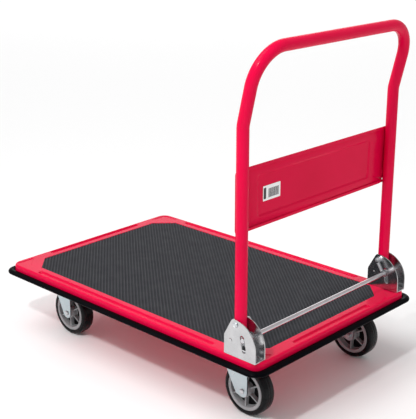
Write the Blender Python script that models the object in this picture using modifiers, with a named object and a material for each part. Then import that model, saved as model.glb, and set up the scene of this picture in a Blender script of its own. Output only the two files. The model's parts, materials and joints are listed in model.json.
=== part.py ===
"""Folding platform cart: a pressed steel deck on four castors with a fold-down push handle.

Metres, +Z up. The origin is on the floor under the middle of the deck; +X points to the handle
end and Y runs across the cart. Everything that moves has its object origin on its own axis.
"""
import math

import bmesh
import bpy
from mathutils import Matrix, Vector

# ---------------------------------------------------------------- overall
LENGTH = 0.910                # over the bumper strip, along X
WIDTH = 0.610                 # over the bumper strip, along Y
GAP = 0.0003                  # clearance between pieces that touch
CURVE_STEPS = 4               # segments in a quarter turn of a corner

# ---------------------------------------------------------------- deck pan, mat and bumper
SHEET = 0.0015                # deck steel
DECK_CORNER = 0.028           # plan radius of the deck's corners
DECK_EDGE = 0.005             # radius between the deck's top and its skirt
SKIRT = 0.0275                # height of the skirt
RIM = 0.006                   # flat outside the long grooves
GROOVE_WIDTH = 0.018
GROOVE_DEPTH = 0.004
GROOVE_DRAFT = 0.0028         # how far the groove's sides lean in
GROOVE_END_FRONT = 0.104      # groove ends, measured in from the deck's front edge
GROOVE_END_REAR = 0.139       # and from its handle edge
FRONT_GROOVE_END = 0.124      # end grooves, measured in from the long sides
REAR_GROOVE_END = 0.143
PATCH_SETBACK = 0.010         # three-cornered pressings at the deck's corners
PATCH_LEG = 0.060
PATCH_DEPTH = 0.0015
PATCH_POINT = 0.004           # radius of the pressings' points
MAT_BORDER = 0.037            # steel border left around the mat
MAT_CHAMFER = 0.049
MAT_THICK = 0.0032
MAT_EDGE = 0.0008             # chamfer round the mat's top
MAT_RECESS = 0.0038
BUMPER_WIDTH = 0.0157
BUMPER_HEIGHT = 0.0105
BUMPER_TOP = 0.015            # skirt left bare above the bumper
BUMPER_CORNER = 0.033
BUMPER_INNER_CORNER = 0.020
BUMPER_ROUND = 0.0045
BUMPER_JOINT = 0.0006         # butt joint in the strip, at the handle end

# ---------------------------------------------------------------- cross channels under the deck
CHANNEL_STEEL = 0.0025
CHANNEL_CROWN = 0.110         # width of the flat that carries the castor plates
CHANNEL_FLANGE = 0.016
CHANNEL_HEIGHT = 0.0196
CHANNEL_END = 0.0390          # channel ends, in from the deck's long sides
MID_CHANNEL_CROWN = 0.060

# ---------------------------------------------------------------- castors
CASTOR_ROOM = 0.030           # wheel top to the top of the castor plate
CASTOR_INSET = 0.085          # wheel centre, in from the deck's long side
FIXED_AXLE_INSET = 0.1565     # front axles, in from the deck's front edge
SWIVEL_AXLE_INSET = 0.093     # rear axles, in from the deck's handle edge
SWIVEL_TRAIL = 0.034
WHEEL_RADIUS = 0.0625
TYRE_WIDTH = 0.036
TYRE_ROUND = 0.008
TYRE_DEPTH = 0.012            # tread to rim
RIM_SETBACK = 0.001           # rim in from the tyre's side
RIM_RING = 0.0092             # width of the rim's outer ring
RIM_WEB = 0.006
SPOKES = 6
SPOKE_THICK = 0.003
SPOKE_WIDTH_SHARE = 0.82      # spokes' width across the wheel, of the rim's
SPOKE_SINK = 0.002            # spokes' ends inside the hub and the ring
RING_DRAFT = 0.001
HUB_RADIUS = 0.0165
HUB_PAST_TYRE = 0.0025        # hub past the tyre, each side
BUSH_RADIUS = 0.0075
BUSH_PAST_HUB = 0.0020        # bush past the hub, each side
AXLE_RADIUS = 0.004
AXLE_HEAD = 0.0064
AXLE_HEAD_H = 0.0022
AXLE_NUT = 0.0075             # half the nut's width over its corners
AXLE_NUT_H = 0.0065
BOLT_PAST_NUT = 0.0014        # axle bolt's end past its nut
FORK_STEEL = 0.0028
FORK_PLAY = 0.0004            # bush end to the fork's leg, each side
FORK_BOSS = 0.0145            # radius of the leg's lower end
FIXED_LEG_FRONT = -0.059      # fixed leg's front edge at the plate, from the axle
SWIVEL_LEG_BELLY = 0.006
BELLY_SWEEP = 30              # degrees of the boss that the belly covers
LEG_SINK = 0.0005             # leg tops end inside the plate they join
PLATE_STEEL = 0.0028
PLATE_LENGTH = 0.105
PLATE_WIDTH = 0.084
PLATE_CORNER = 0.006
FIXED_PLATE_SHIFT = -0.018    # plate centre from the axle, fixed castors
HEAD_RADIUS = 0.035
HEAD_DROP = 0.012             # castor plate top to the top of the swivel head
RACE_OUTER = 0.030
RACE_INNER = 0.0215
RACE_BULGE = 0.002
KINGPIN_RADIUS = 0.006
KINGPIN_HEAD = 0.0115
KINGPIN_HEAD_H = 0.006
KINGPIN_BELOW_PLATE = 0.0004  # pin's end below the castor plate's top

# ---------------------------------------------------------------- handle
TUBE_RADIUS = 0.0136
TUBE_WALL = 0.0016
PIVOT_RISE = 0.0765           # hinge axis above the deck
TAIL_CLEARANCE = 0.0012       # upright's lower end past the lock bar, as the handle folds
LEAN_START = 0.506            # height above the deck where the uprights bend back
LEAN_ANGLE = math.radians(13.3)
LEAN_RADIUS = 0.055
HANDLE_RISE = 0.6720          # centre of the grip bar above the deck
GRIP_RADIUS = 0.081           # bend between upright and grip bar
PANEL_BOTTOM = 0.274
PANEL_HEIGHT = 0.142
PANEL_OVERHANG = 0.0060       # panel past the uprights' axes, each side
PANEL_STEEL = 0.0012
PANEL_LIP = 0.007             # folded hem along the top and bottom edges
PANEL_LIP_DEPTH = 0.0032
PANEL_LIP_SIDE_GAP = 0.004    # hem's ends short of the uprights
PANEL_LIP_INSET = 0.0003      # hem's edge inside the panel's
PANEL_CORNER = 0.011
PANEL_FIELD_SIDE = 0.070      # pressed field's distance from the panel's ends
PANEL_FIELD_END = 0.022       # and from its top and bottom
PANEL_FIELD_DEPTH = 0.0022
PANEL_FIELD_CORNER = 0.008
DRAIN_RADIUS = 0.0024         # two drain holes in the panel's lower corners
DRAIN_INSET = 0.0045          # from the upright's axis
DRAIN_RISE = 0.0085           # above the panel's lower edge
LABEL_WIDTH = 0.058
LABEL_HEIGHT = 0.034
LABEL_THICK = 0.0004
LABEL_INSET = 0.021           # from the pressed field's end

# ---------------------------------------------------------------- hinge bracket and lock
BRACKET_STEEL = 0.0025
BRACKET_SETBACK = 0.0060      # bracket's back, in from the deck's handle edge
BRACKET_SIDE_SETBACK = 0.0013 # bracket's outer plate, in from the deck's long side
HINGE_FROM_FRONT = 0.0335     # hinge axis from the bracket's front edge
BRACKET_LENGTH = 0.090
BRACKET_ARC = 0.0614          # radius of the back's curve
BRACKET_HEIGHT = 0.088
BRACKET_SHOULDER = 0.042
BRACKET_ARC_SWEEP = 92        # degrees of the back's curve
BRACKET_CROWN_RUN = 0.0058    # the crown's small chamfer: along, down, then along, down
BRACKET_CROWN_DROP = 0.0022
BRACKET_NOSE_RUN = 0.0088
BRACKET_NOSE_DROP = 0.0066
BRACKET_FRONT_LEAN = 0.0006   # front edge's set back above the shoulder
BRACKET_FRONT_BEND = 0.004
CRESCENT_X = 0.0185           # crescent slit's centre, from the bracket's front and foot
CRESCENT_Z = 0.0355
CRESCENT_OUTER = 0.0052
CRESCENT_INNER = 0.0036
BRACKET_SIDE_GAP = 0.0006     # beside the upright, each side
LOCK_TUBE_GAP = 0.0008        # lock bar behind the uprights
LOCK_DROP = 0.0319            # lock bar below the hinge axis, at rest
SLOT_SLANT = math.radians(11.0)
LOCK_RADIUS = 0.0055
LOCK_CLEARANCE = 0.0005
LOCK_BELOW_SLOT_TOP = 0.0060  # bar's rest place, down the slot from its upper end
LOCK_TRAVEL = 0.0220
LOCK_END = 0.0008             # bar past the bracket, each side
CLIP_RADIUS = 0.0088
CLIP_THICK = 0.0016
BOLT_RADIUS = 0.004
PIVOT_HEAD = 0.0066
PIVOT_HEAD_H = 0.0020
PIVOT_HEAD_FLAT = 0.0040      # radius of the flat on top of the head
PIVOT_HEAD_CHAMFER = 0.0002
PIVOT_NUT = 0.0072            # half the nut's width over its corners
PIVOT_NUT_H = 0.0050
PIVOT_PAST_SPRING = 0.0030    # pivot bolt's end past the spring's plane
FOOT_HEAD = 0.0070
FOOT_HEAD_H = 0.005
FOOT_SHANK = 0.016            # foot bolt's length under its head
SPRING_RADIUS = 0.0042
SPRING_WIRE = 0.0008
SPRING_TURNS = 7
SPRING_LEAD = 0.0012          # from a hook to the first coil
SPRING_HOOK = 200             # degrees of each hook
SPRING_OFF = 0.0108           # spring's plane, inboard of the bracket
FOOT_BOLTS = (0.018, 0.072)   # bolt places, from the bracket's front edge
WELD_IN = 0.0005              # how far welded or headed forms run into each other
CUT_PAST = 0.05               # how far a cutting tool runs past what it cuts

DECK_LENGTH = LENGTH - 2 * (BUMPER_WIDTH + GAP)
DECK_WIDTH = WIDTH - 2 * (BUMPER_WIDTH + GAP)
MAT_LENGTH = DECK_LENGTH - 2 * MAT_BORDER
MAT_WIDTH = DECK_WIDTH - 2 * MAT_BORDER
CASTOR_HEIGHT = 2 * WHEEL_RADIUS + CASTOR_ROOM
DECK_TOP = CASTOR_HEIGHT + CHANNEL_HEIGHT + SHEET + MAT_RECESS + 2 * GAP
DECK_BOTTOM = DECK_TOP - SKIRT
CHANNEL_LENGTH = DECK_WIDTH - 2 * CHANNEL_END
CASTOR_Y = DECK_WIDTH / 2 - CASTOR_INSET
FIXED_AXLE_X = -DECK_LENGTH / 2 + FIXED_AXLE_INSET
SWIVEL_AXLE_X = DECK_LENGTH / 2 - SWIVEL_AXLE_INSET
RIM_RADIUS = WHEEL_RADIUS - TYRE_DEPTH
RIM_WIDTH = TYRE_WIDTH - 2 * RIM_SETBACK
HUB_WIDTH = TYRE_WIDTH + 2 * HUB_PAST_TYRE
BUSH_WIDTH = HUB_WIDTH + 2 * BUSH_PAST_HUB
FORK_GAP = BUSH_WIDTH + 2 * FORK_PLAY
BRACKET_WIDTH = 2 * (TUBE_RADIUS + BRACKET_SIDE_GAP + BRACKET_STEEL)
BRACKET_FRONT = DECK_LENGTH / 2 - BRACKET_SETBACK - BRACKET_LENGTH
HANDLE_X = BRACKET_FRONT + HINGE_FROM_FRONT
HANDLE_Y = DECK_WIDTH / 2 - BRACKET_SIDE_SETBACK - BRACKET_WIDTH / 2
PIVOT_Z = DECK_TOP + PIVOT_RISE
LOCK_BACK = TUBE_RADIUS + LOCK_TUBE_GAP + LOCK_RADIUS
TAIL_REACH = math.hypot(LOCK_BACK, LOCK_DROP) - LOCK_RADIUS - TAIL_CLEARANCE
TUBE_TAIL = math.sqrt(TAIL_REACH ** 2 - TUBE_RADIUS ** 2)

# ---------------------------------------------------------------- scene and materials
for item in list(bpy.data.objects):
    bpy.data.objects.remove(item, do_unlink=True)

parts = bpy.data.collections.new("folding_platform_cart")
cutters = bpy.data.collections.new("cutters")
bpy.context.scene.collection.children.link(parts)
bpy.context.scene.collection.children.link(cutters)


def make_material(name, colour, roughness, metallic):
    mat = bpy.data.materials.new(name)
    mat.use_nodes = True
    shader = mat.node_tree.nodes["Principled BSDF"]
    shader.inputs["Base Color"].default_value = (*colour, 1.0)
    shader.inputs["Roughness"].default_value = roughness
    shader.inputs["Metallic"].default_value = metallic
    mat.diffuse_color = (*colour, 1.0)
    return mat


RED_PAINT = ((0.62, 0.010, 0.045), 0.32, 0.0)
ZINC = ((0.72, 0.74, 0.76), 0.35, 1.0)
BRIGHT_STEEL = ((0.55, 0.55, 0.56), 0.28, 1.0)
DARK_STEEL = ((0.30, 0.31, 0.32), 0.45, 1.0)
MAT_VINYL = ((0.045, 0.047, 0.053), 0.75, 0.0)
BLACK_RUBBER = ((0.008, 0.008, 0.009), 0.45, 0.0)
TYRE_RUBBER = ((0.012, 0.012, 0.013), 0.50, 0.0)
GREY_PLASTIC = ((0.30, 0.30, 0.31), 0.50, 0.0)
NYLON = ((0.70, 0.68, 0.62), 0.55, 0.0)
PAPER = ((0.85, 0.85, 0.85), 0.60, 0.0)


# ---------------------------------------------------------------- helpers
def add_object(name, mesh, look, origin, smooth=False):
    """Put a mesh, whose points are relative to origin, into the model as one part."""
    obj = bpy.data.objects.new(name, mesh)
    obj.location = origin
    if look is None:
        cutters.objects.link(obj)
        obj.hide_render = True
        obj.display_type = "WIRE"
    else:
        parts.objects.link(obj)
        mesh.materials.clear()
        mesh.materials.append(make_material(name + "_material", *look))
        if smooth:
            mesh.shade_smooth()
            mesh.set_sharp_from_angle(angle=math.radians(50))
    return obj


def mesh_from(name, bm):
    mesh = bpy.data.meshes.new(name)
    bmesh.ops.recalc_face_normals(bm, faces=bm.faces[:])
    bm.to_mesh(mesh)
    bm.free()
    return mesh


def mesh_from_curve(name, curve):
    """Evaluate a curve, weld its caps and return a closed mesh."""
    holder = bpy.data.objects.new(name + "_curve", curve)
    cutters.objects.link(holder)
    bpy.context.view_layer.update()
    graph = bpy.context.evaluated_depsgraph_get()
    mesh = bpy.data.meshes.new_from_object(holder.evaluated_get(graph))
    bpy.data.objects.remove(holder, do_unlink=True)
    bm = bmesh.new()
    bm.from_mesh(mesh)
    bpy.data.meshes.remove(mesh)
    bmesh.ops.remove_doubles(bm, verts=bm.verts[:], dist=1e-6)
    bmesh.ops.recalc_face_normals(bm, faces=bm.faces[:])
    return bm


def extruded(name, loops, low, high, plane="XY"):
    """Flat outline (a list of loops, the first one outside) extruded from low to high.

    plane XY extrudes along Z; plane XZ takes (x, z) points and extrudes along Y;
    plane YZ takes (y, z) points and extrudes along X.
    """
    curve = bpy.data.curves.new(name, "CURVE")
    curve.dimensions = "2D"
    curve.fill_mode = "BOTH"
    curve.extrude = (high - low) / 2
    for loop in loops:
        spline = curve.splines.new("POLY")
        spline.points.add(len(loop) - 1)
        for point, (a, b) in zip(spline.points, loop):
            point.co = (a, b, 0.0, 1.0)
        spline.use_cyclic_u = True
    bm = mesh_from_curve(name, curve)
    bpy.data.curves.remove(curve)
    middle = (low + high) / 2
    if plane == "XY":
        turn = Matrix.Translation((0, 0, middle))
    elif plane == "XZ":
        turn = Matrix.Translation((0, middle, 0)) @ Matrix.Rotation(math.pi / 2, 4, "X")
    else:
        turn = (Matrix.Translation((middle, 0, 0)) @ Matrix.Rotation(math.pi / 2, 4, "Z")
                @ Matrix.Rotation(math.pi / 2, 4, "X"))
    bmesh.ops.transform(bm, matrix=turn, verts=bm.verts[:])
    return bm


def arc(cx, cy, radius, start, end, steps):
    """Points on an arc, both ends included; angles in degrees."""
    out = []
    for i in range(steps + 1):
        angle = math.radians(start + (end - start) * i / steps)
        out.append((cx + radius * math.cos(angle), cy + radius * math.sin(angle)))
    return out


def rounded_rect(length, width, radius, cx=0.0, cy=0.0, steps=CURVE_STEPS):
    a = length / 2 - radius
    b = width / 2 - radius
    out = []
    for sx, sy, start in ((1, 1, 0), (-1, 1, 90), (-1, -1, 180), (1, -1, 270)):
        out += arc(cx + sx * a, cy + sy * b, radius, start, start + 90, steps)
    return out


def octagon(length, width, chamfer):
    a = length / 2
    b = width / 2
    return [(a, -b + chamfer), (a, b - chamfer), (a - chamfer, b), (-a + chamfer, b),
            (-a, b - chamfer), (-a, -b + chamfer), (-a + chamfer, -b), (a - chamfer, -b)]


def offset_octagon(grow):
    """The mat's outline grown evenly on all eight sides."""
    chamfer = MAT_CHAMFER + grow * (2 - math.sqrt(2))
    return octagon(MAT_LENGTH + 2 * grow, MAT_WIDTH + 2 * grow, chamfer)


def turned(name, profile, look, origin, axis="Z", steps=32):
    """Turn a closed (radius, height) profile about an axis with a Screw modifier."""
    bm = bmesh.new()
    points = [bm.verts.new((r, 0.0, h)) for r, h in profile]
    for i, vert in enumerate(points):
        bm.edges.new((vert, points[(i + 1) % len(points)]))
    mesh = bpy.data.meshes.new(name)
    bm.to_mesh(mesh)
    bm.free()
    obj = add_object(name, mesh, look, origin, True)
    screw = obj.modifiers.new("Turn", "SCREW")
    screw.steps = steps
    screw.render_steps = steps
    screw.use_merge_vertices = True
    screw.merge_threshold = 1e-5
    screw.use_smooth_shade = True
    if axis == "Y":
        obj.rotation_euler = (math.pi / 2, 0, 0)
    return obj


def cylinder(name, radius, length, look, origin, axis="Z", sides=24):
    """Cylinder centred on origin; six sides make a hexagon."""
    bm = bmesh.new()
    bmesh.ops.create_cone(bm, cap_ends=True, segments=sides, radius1=radius, radius2=radius,
                          depth=length)
    if axis == "Y":
        bmesh.ops.rotate(bm, verts=bm.verts[:], cent=(0, 0, 0),
                         matrix=Matrix.Rotation(math.pi / 2, 3, "X"))
    return add_object(name, mesh_from(name, bm), look, origin, sides > 6)


def box(name, size, look, origin):
    bm = bmesh.new()
    bmesh.ops.create_cube(bm, size=1.0)
    bmesh.ops.scale(bm, vec=size, verts=bm.verts[:])
    return add_object(name, mesh_from(name, bm), look, origin)


def combine(obj, other, operation):
    """Boolean a cutter into a part; the cutter stays in the cutters collection."""
    mod = obj.modifiers.new(operation.title(), "BOOLEAN")
    mod.operation = operation
    mod.solver = "EXACT"
    mod.object = other
    return obj


def round_edges(bm, test, width, segments):
    """Bevel the corners that test picks; edges inside a flat face are left alone."""
    chosen = [edge for edge in bm.edges if edge.calc_face_angle(0.0) > 0.2 and test(edge)]
    bmesh.ops.bevel(bm, geom=chosen, offset=width, segments=segments, profile=0.5,
                    affect="EDGES", clamp_overlap=True)


# ---------------------------------------------------------------- deck pan
def tray(name, outline, top, bottom, draft):
    """A pocket's solid: full size at the top, smaller by draft all round at the bottom."""
    bm = extruded(name, [outline], bottom, top)
    xs = [v.co.x for v in bm.verts]
    ys = [v.co.y for v in bm.verts]
    cx, cy = (min(xs) + max(xs)) / 2, (min(ys) + max(ys)) / 2
    sx = 1 - 2 * draft / (max(xs) - min(xs))
    sy = 1 - 2 * draft / (max(ys) - min(ys))
    for vert in bm.verts:
        if vert.co.z < (top + bottom) / 2:
            vert.co.x = cx + (vert.co.x - cx) * sx
            vert.co.y = cy + (vert.co.y - cy) * sy
    return add_object(name, mesh_from(name, bm), None, (0, 0, 0))


def corner_patch(sx, sy, grow):
    """Three-cornered outline in one corner of the deck, with rounded points."""
    x = DECK_LENGTH / 2 - PATCH_SETBACK + grow
    y = DECK_WIDTH / 2 - PATCH_SETBACK + grow
    leg = PATCH_LEG + grow * (2 + math.sqrt(2))
    corners = [Vector((x, y)), Vector((x - leg, y)), Vector((x, y - leg))]
    out = []
    for i, corner in enumerate(corners):
        before = (corners[i - 1] - corner).normalized()
        after = (corners[(i + 1) % 3] - corner).normalized()
        half = before.angle(after) / 2
        reach = (PATCH_POINT + grow) / math.tan(half)
        start = corner + before * reach
        end = corner + after * reach
        for j in range(3):
            t = j / 2
            a = start.lerp(corner, t)
            b = corner.lerp(end, t)
            point = a.lerp(b, t)
            out.append((point.x * sx, point.y * sy))
    return out if sx * sy > 0 else out[::-1]


def pan_form(name, inset, look):
    """The deck's pressed shape, drawn in by inset: 0 for the outside, SHEET for the inside."""
    top = DECK_TOP - inset
    bottom = DECK_BOTTOM if inset == 0 else DECK_BOTTOM - 0.02
    plan = rounded_rect(DECK_LENGTH - 2 * inset, DECK_WIDTH - 2 * inset, DECK_CORNER - inset)
    bm = extruded(name, [plan], bottom, top)
    round_edges(bm, lambda e: min(v.co.z for v in e.verts) > top - 1e-6, DECK_EDGE - inset, 2)
    form = add_object(name, mesh_from(name, bm), look, (0, 0, 0))
    above = DECK_TOP + 0.01
    pockets = [("mat", offset_octagon(GAP + inset), MAT_RECESS, 0.0)]
    side_y = DECK_WIDTH / 2 - RIM - GROOVE_WIDTH / 2
    end_x = DECK_LENGTH / 2 - RIM - GROOVE_WIDTH / 2
    long_start = -DECK_LENGTH / 2 + GROOVE_END_FRONT
    long_end = DECK_LENGTH / 2 - GROOVE_END_REAR
    radius = GROOVE_WIDTH / 3 + inset
    for tag, sign in (("left", -1), ("right", 1)):
        plan = rounded_rect(long_end - long_start + 2 * inset, GROOVE_WIDTH + 2 * inset, radius,
                            (long_start + long_end) / 2, sign * side_y, 2)
        pockets.append(("groove_" + tag, plan, GROOVE_DEPTH, GROOVE_DRAFT))
    for tag, sign, setback in (("front", -1, FRONT_GROOVE_END), ("rear", 1, REAR_GROOVE_END)):
        plan = rounded_rect(GROOVE_WIDTH + 2 * inset, DECK_WIDTH - 2 * setback + 2 * inset, radius,
                            sign * end_x, 0.0, 2)
        pockets.append(("groove_" + tag, plan, GROOVE_DEPTH, GROOVE_DRAFT))
    for sx in (-1, 1):
        for sy in (-1, 1):
            pockets.append((f"patch_{sx}_{sy}", corner_patch(sx, sy, inset), PATCH_DEPTH, 0.0))
    for tag, plan, depth, draft in pockets:
        floor = top - depth
        lean = draft * (above - floor) / depth
        grown = widen(plan, lean - draft)
        combine(form, tray(f"{name}_{tag}_cut", grown, above, floor, lean), "DIFFERENCE")
    return form


def widen(plan, grow):
    """Grow an outline so that a leaning side passes the deck's surface at the drawn size."""
    if grow <= 0:
        return plan
    xs = [p[0] for p in plan]
    ys = [p[1] for p in plan]
    cx, cy = (min(xs) + max(xs)) / 2, (min(ys) + max(ys)) / 2
    sx = 1 + 2 * grow / (max(xs) - min(xs))
    sy = 1 + 2 * grow / (max(ys) - min(ys))
    return [(cx + (x - cx) * sx, cy + (y - cy) * sy) for x, y in plan]


deck = pan_form("deck_pan", 0.0, RED_PAINT)
combine(deck, pan_form("deck_inside", SHEET, None), "DIFFERENCE")
for side in (-1, 1):
    for distance in FOOT_BOLTS:
        combine(deck, cylinder(f"deck_hole_{side}_{distance}", BOLT_RADIUS + GAP, 0.05, None,
                               (BRACKET_FRONT + distance, side * HANDLE_Y, DECK_TOP)), "DIFFERENCE")

# ---------------------------------------------------------------- mat
mat_floor = DECK_TOP - MAT_RECESS + GAP
mat_form = extruded("deck_mat", [offset_octagon(0.0)], 0.0, MAT_THICK)
round_edges(mat_form, lambda e: min(v.co.z for v in e.verts) > MAT_THICK - 1e-6, MAT_EDGE, 1)
add_object("deck_mat", mesh_from("deck_mat", mat_form), MAT_VINYL, (0, 0, mat_floor))

# ---------------------------------------------------------------- bumper strip
bumper_top = DECK_TOP - BUMPER_TOP
bumper_form = extruded("bumper_strip", [
    rounded_rect(LENGTH, WIDTH, BUMPER_CORNER),
    rounded_rect(DECK_LENGTH + 2 * GAP, DECK_WIDTH + 2 * GAP, BUMPER_INNER_CORNER),
], bumper_top - BUMPER_HEIGHT, bumper_top)


def on_outer_rim(edge):
    for vert in edge.verts:
        inside_x = abs(vert.co.x) < DECK_LENGTH / 2 + 2 * GAP
        inside_y = abs(vert.co.y) < DECK_WIDTH / 2 + 2 * GAP
        if inside_x and inside_y:
            return False
    return abs(edge.verts[0].co.z - edge.verts[1].co.z) < 1e-6


round_edges(bumper_form, on_outer_rim, BUMPER_ROUND, 3)
bumper = add_object("bumper_strip", mesh_from("bumper_strip", bumper_form), BLACK_RUBBER, (0, 0, 0))
combine(bumper, box("bumper_joint", (0.05, BUMPER_JOINT, 0.05), None,
                    (LENGTH / 2, 0.0, bumper_top)), "DIFFERENCE")


# ---------------------------------------------------------------- cross channels
def cross_channel(name, x, crown):
    """Top-hat channel across the deck, open upwards, carrying the castors on its crown."""
    low = CASTOR_HEIGHT + GAP
    top = low + CHANNEL_HEIGHT
    t = CHANNEL_STEEL
    half = crown / 2
    outer = half + CHANNEL_FLANGE
    profile = [(-outer, top), (-outer, top - t), (-half, top - t), (-half, low), (half, low),
               (half, top - t), (outer, top - t), (outer, top), (half - t, top),
               (half - t, low + t), (-half + t, low + t), (-half + t, top)]
    profile = [(a, b - low) for a, b in profile]
    bm = extruded(name, [profile], -CHANNEL_LENGTH / 2, CHANNEL_LENGTH / 2, "XZ")
    return add_object(name, mesh_from(name, bm), RED_PAINT, (x, 0, low))


fixed_plate_x = FIXED_AXLE_X + FIXED_PLATE_SHIFT
kingpin_x = SWIVEL_AXLE_X - SWIVEL_TRAIL
cross_channel("channel_front", fixed_plate_x, CHANNEL_CROWN)
cross_channel("channel_rear", kingpin_x, CHANNEL_CROWN)
cross_channel("channel_middle", (fixed_plate_x + kingpin_x) / 2, MID_CHANNEL_CROWN)


# ---------------------------------------------------------------- wheels and castors
def wheel(tag, x, y):
    """Tyre, rim, bush, axle bolt and nut, all turned about the axle."""
    centre = (x, y, WHEEL_RADIUS)
    half = TYRE_WIDTH / 2
    outer = WHEEL_RADIUS
    shoulder = arc(outer - TYRE_ROUND, half - TYRE_ROUND, TYRE_ROUND, 90, 0, 2)
    lower = [(r, -h) for r, h in reversed(shoulder)]
    seat = RIM_RADIUS + GAP
    tyre_profile = [(seat, half)] + shoulder + lower + [(seat, -half)]
    turned("tyre_" + tag, tyre_profile, TYRE_RUBBER, centre, "Y", 32)

    ring = RIM_RADIUS - RIM_RING
    web = RIM_WEB / 2
    bore = BUSH_RADIUS + GAP
    rim_half = RIM_WIDTH / 2
    hub_half = HUB_WIDTH / 2
    side = [(bore, hub_half), (HUB_RADIUS, hub_half), (HUB_RADIUS, web), (ring, web),
            (ring + RING_DRAFT, rim_half), (RIM_RADIUS, rim_half)]
    rim_profile = side + [(r, -h) for r, h in reversed(side)]
    rim = turned("rim_" + tag, rim_profile, GREY_PLASTIC, centre, "Y", 20)
    for i in range(SPOKES):
        angle = 2 * math.pi * (i + 0.5) / SPOKES
        reach = (HUB_RADIUS + ring) / 2
        size = (ring - HUB_RADIUS + 2 * SPOKE_SINK, RIM_WIDTH * SPOKE_WIDTH_SHARE, SPOKE_THICK)
        spoke = box(f"spoke_{tag}_{i}", size, None,
                    (x + reach * math.cos(angle), y, WHEEL_RADIUS + reach * math.sin(angle)))
        spoke.rotation_euler = (0, -angle, 0)
        combine(rim, spoke, "UNION")

    tube_wall = [(AXLE_RADIUS + GAP, BUSH_WIDTH / 2), (BUSH_RADIUS, BUSH_WIDTH / 2),
                 (BUSH_RADIUS, -BUSH_WIDTH / 2), (AXLE_RADIUS + GAP, -BUSH_WIDTH / 2)]
    turned("axle_bush_" + tag, tube_wall, NYLON, centre, "Y", 12)

    outward = -1 if y < 0 else 1
    leg_face = FORK_GAP / 2 + FORK_STEEL
    start = leg_face + GAP + WELD_IN
    shank = start + leg_face + GAP + AXLE_NUT_H + BOLT_PAST_NUT
    bolt = cylinder("axle_bolt_" + tag, AXLE_HEAD, AXLE_HEAD_H, BRIGHT_STEEL,
                    (x, y + outward * (leg_face + GAP + AXLE_HEAD_H / 2), WHEEL_RADIUS), "Y", 16)
    combine(bolt, cylinder(f"axle_shank_{tag}", AXLE_RADIUS, shank, None,
                           (x, y + outward * (start - shank / 2), WHEEL_RADIUS), "Y", 12), "UNION")
    nut = cylinder("axle_nut_" + tag, AXLE_NUT, AXLE_NUT_H, BRIGHT_STEEL,
                   (x, y - outward * (leg_face + GAP + AXLE_NUT_H / 2), WHEEL_RADIUS), "Y", 6)
    combine(nut, cylinder(f"axle_nut_bore_{tag}", AXLE_RADIUS + GAP, 0.03, None,
                          (x, y - outward * leg_face, WHEEL_RADIUS), "Y", 12), "DIFFERENCE")


def leg_outline(front_top, top, belly):
    """Side view of a fork leg about the axle: upright rear edge, slanted front edge.

    belly moves the front edge's lower end out from the boss, for the fuller swivel leg.
    """
    reach = math.hypot(front_top, top)
    touch = math.atan2(top, front_top) + math.acos((FORK_BOSS + belly) / reach)
    out = [(FORK_BOSS, top), (front_top, top)]
    if belly:
        full = FORK_BOSS + belly
        out.append((full * math.cos(touch), full * math.sin(touch)))
    out += arc(0.0, 0.0, FORK_BOSS, math.degrees(touch) + (BELLY_SWEEP if belly else 0), 360, 9)
    return out


def add_leg_holes(fork, tag, x, y):
    combine(fork, cylinder(f"fork_bore_{tag}", AXLE_RADIUS + GAP, 0.08, None,
                           (x, y, WHEEL_RADIUS), "Y", 12), "DIFFERENCE")


def leg_pair(name, outline):
    """Block over the full width of both legs; the space between them is cut out of it."""
    outer = FORK_GAP / 2 + FORK_STEEL
    bm = extruded(name, [outline], -outer, outer, "XZ")
    return mesh_from(name, bm)


def castor_plate(name, look, x, y):
    """Top plate that bolts to a channel, centred on x and y."""
    plan = rounded_rect(PLATE_LENGTH, PLATE_WIDTH, PLATE_CORNER, 0, 0, 2)
    mesh = mesh_from(name, extruded(name, [plan], 0, PLATE_STEEL))
    return add_object(name, mesh, look, (x, y, CASTOR_HEIGHT - PLATE_STEEL))


def fixed_castor(tag, x, y):
    """Rigid castor: plate and legs pressed from one piece."""
    plate_low = CASTOR_HEIGHT - PLATE_STEEL
    top = CASTOR_HEIGHT - WHEEL_RADIUS - LEG_SINK
    outline = leg_outline(FIXED_LEG_FRONT, top, 0.0)
    name = "fork_" + tag
    fork = add_object(name, leg_pair(name, outline), ZINC, (x, y, WHEEL_RADIUS))
    combine(fork, box(f"fork_gap_{tag}", (0.2, FORK_GAP, plate_low), None,
                      (x, y, plate_low / 2)), "DIFFERENCE")
    combine(fork, castor_plate(f"fork_plate_{tag}", None, x + FIXED_PLATE_SHIFT, y), "UNION")
    add_leg_holes(fork, tag, x, y)
    wheel(tag, x, y)


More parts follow.
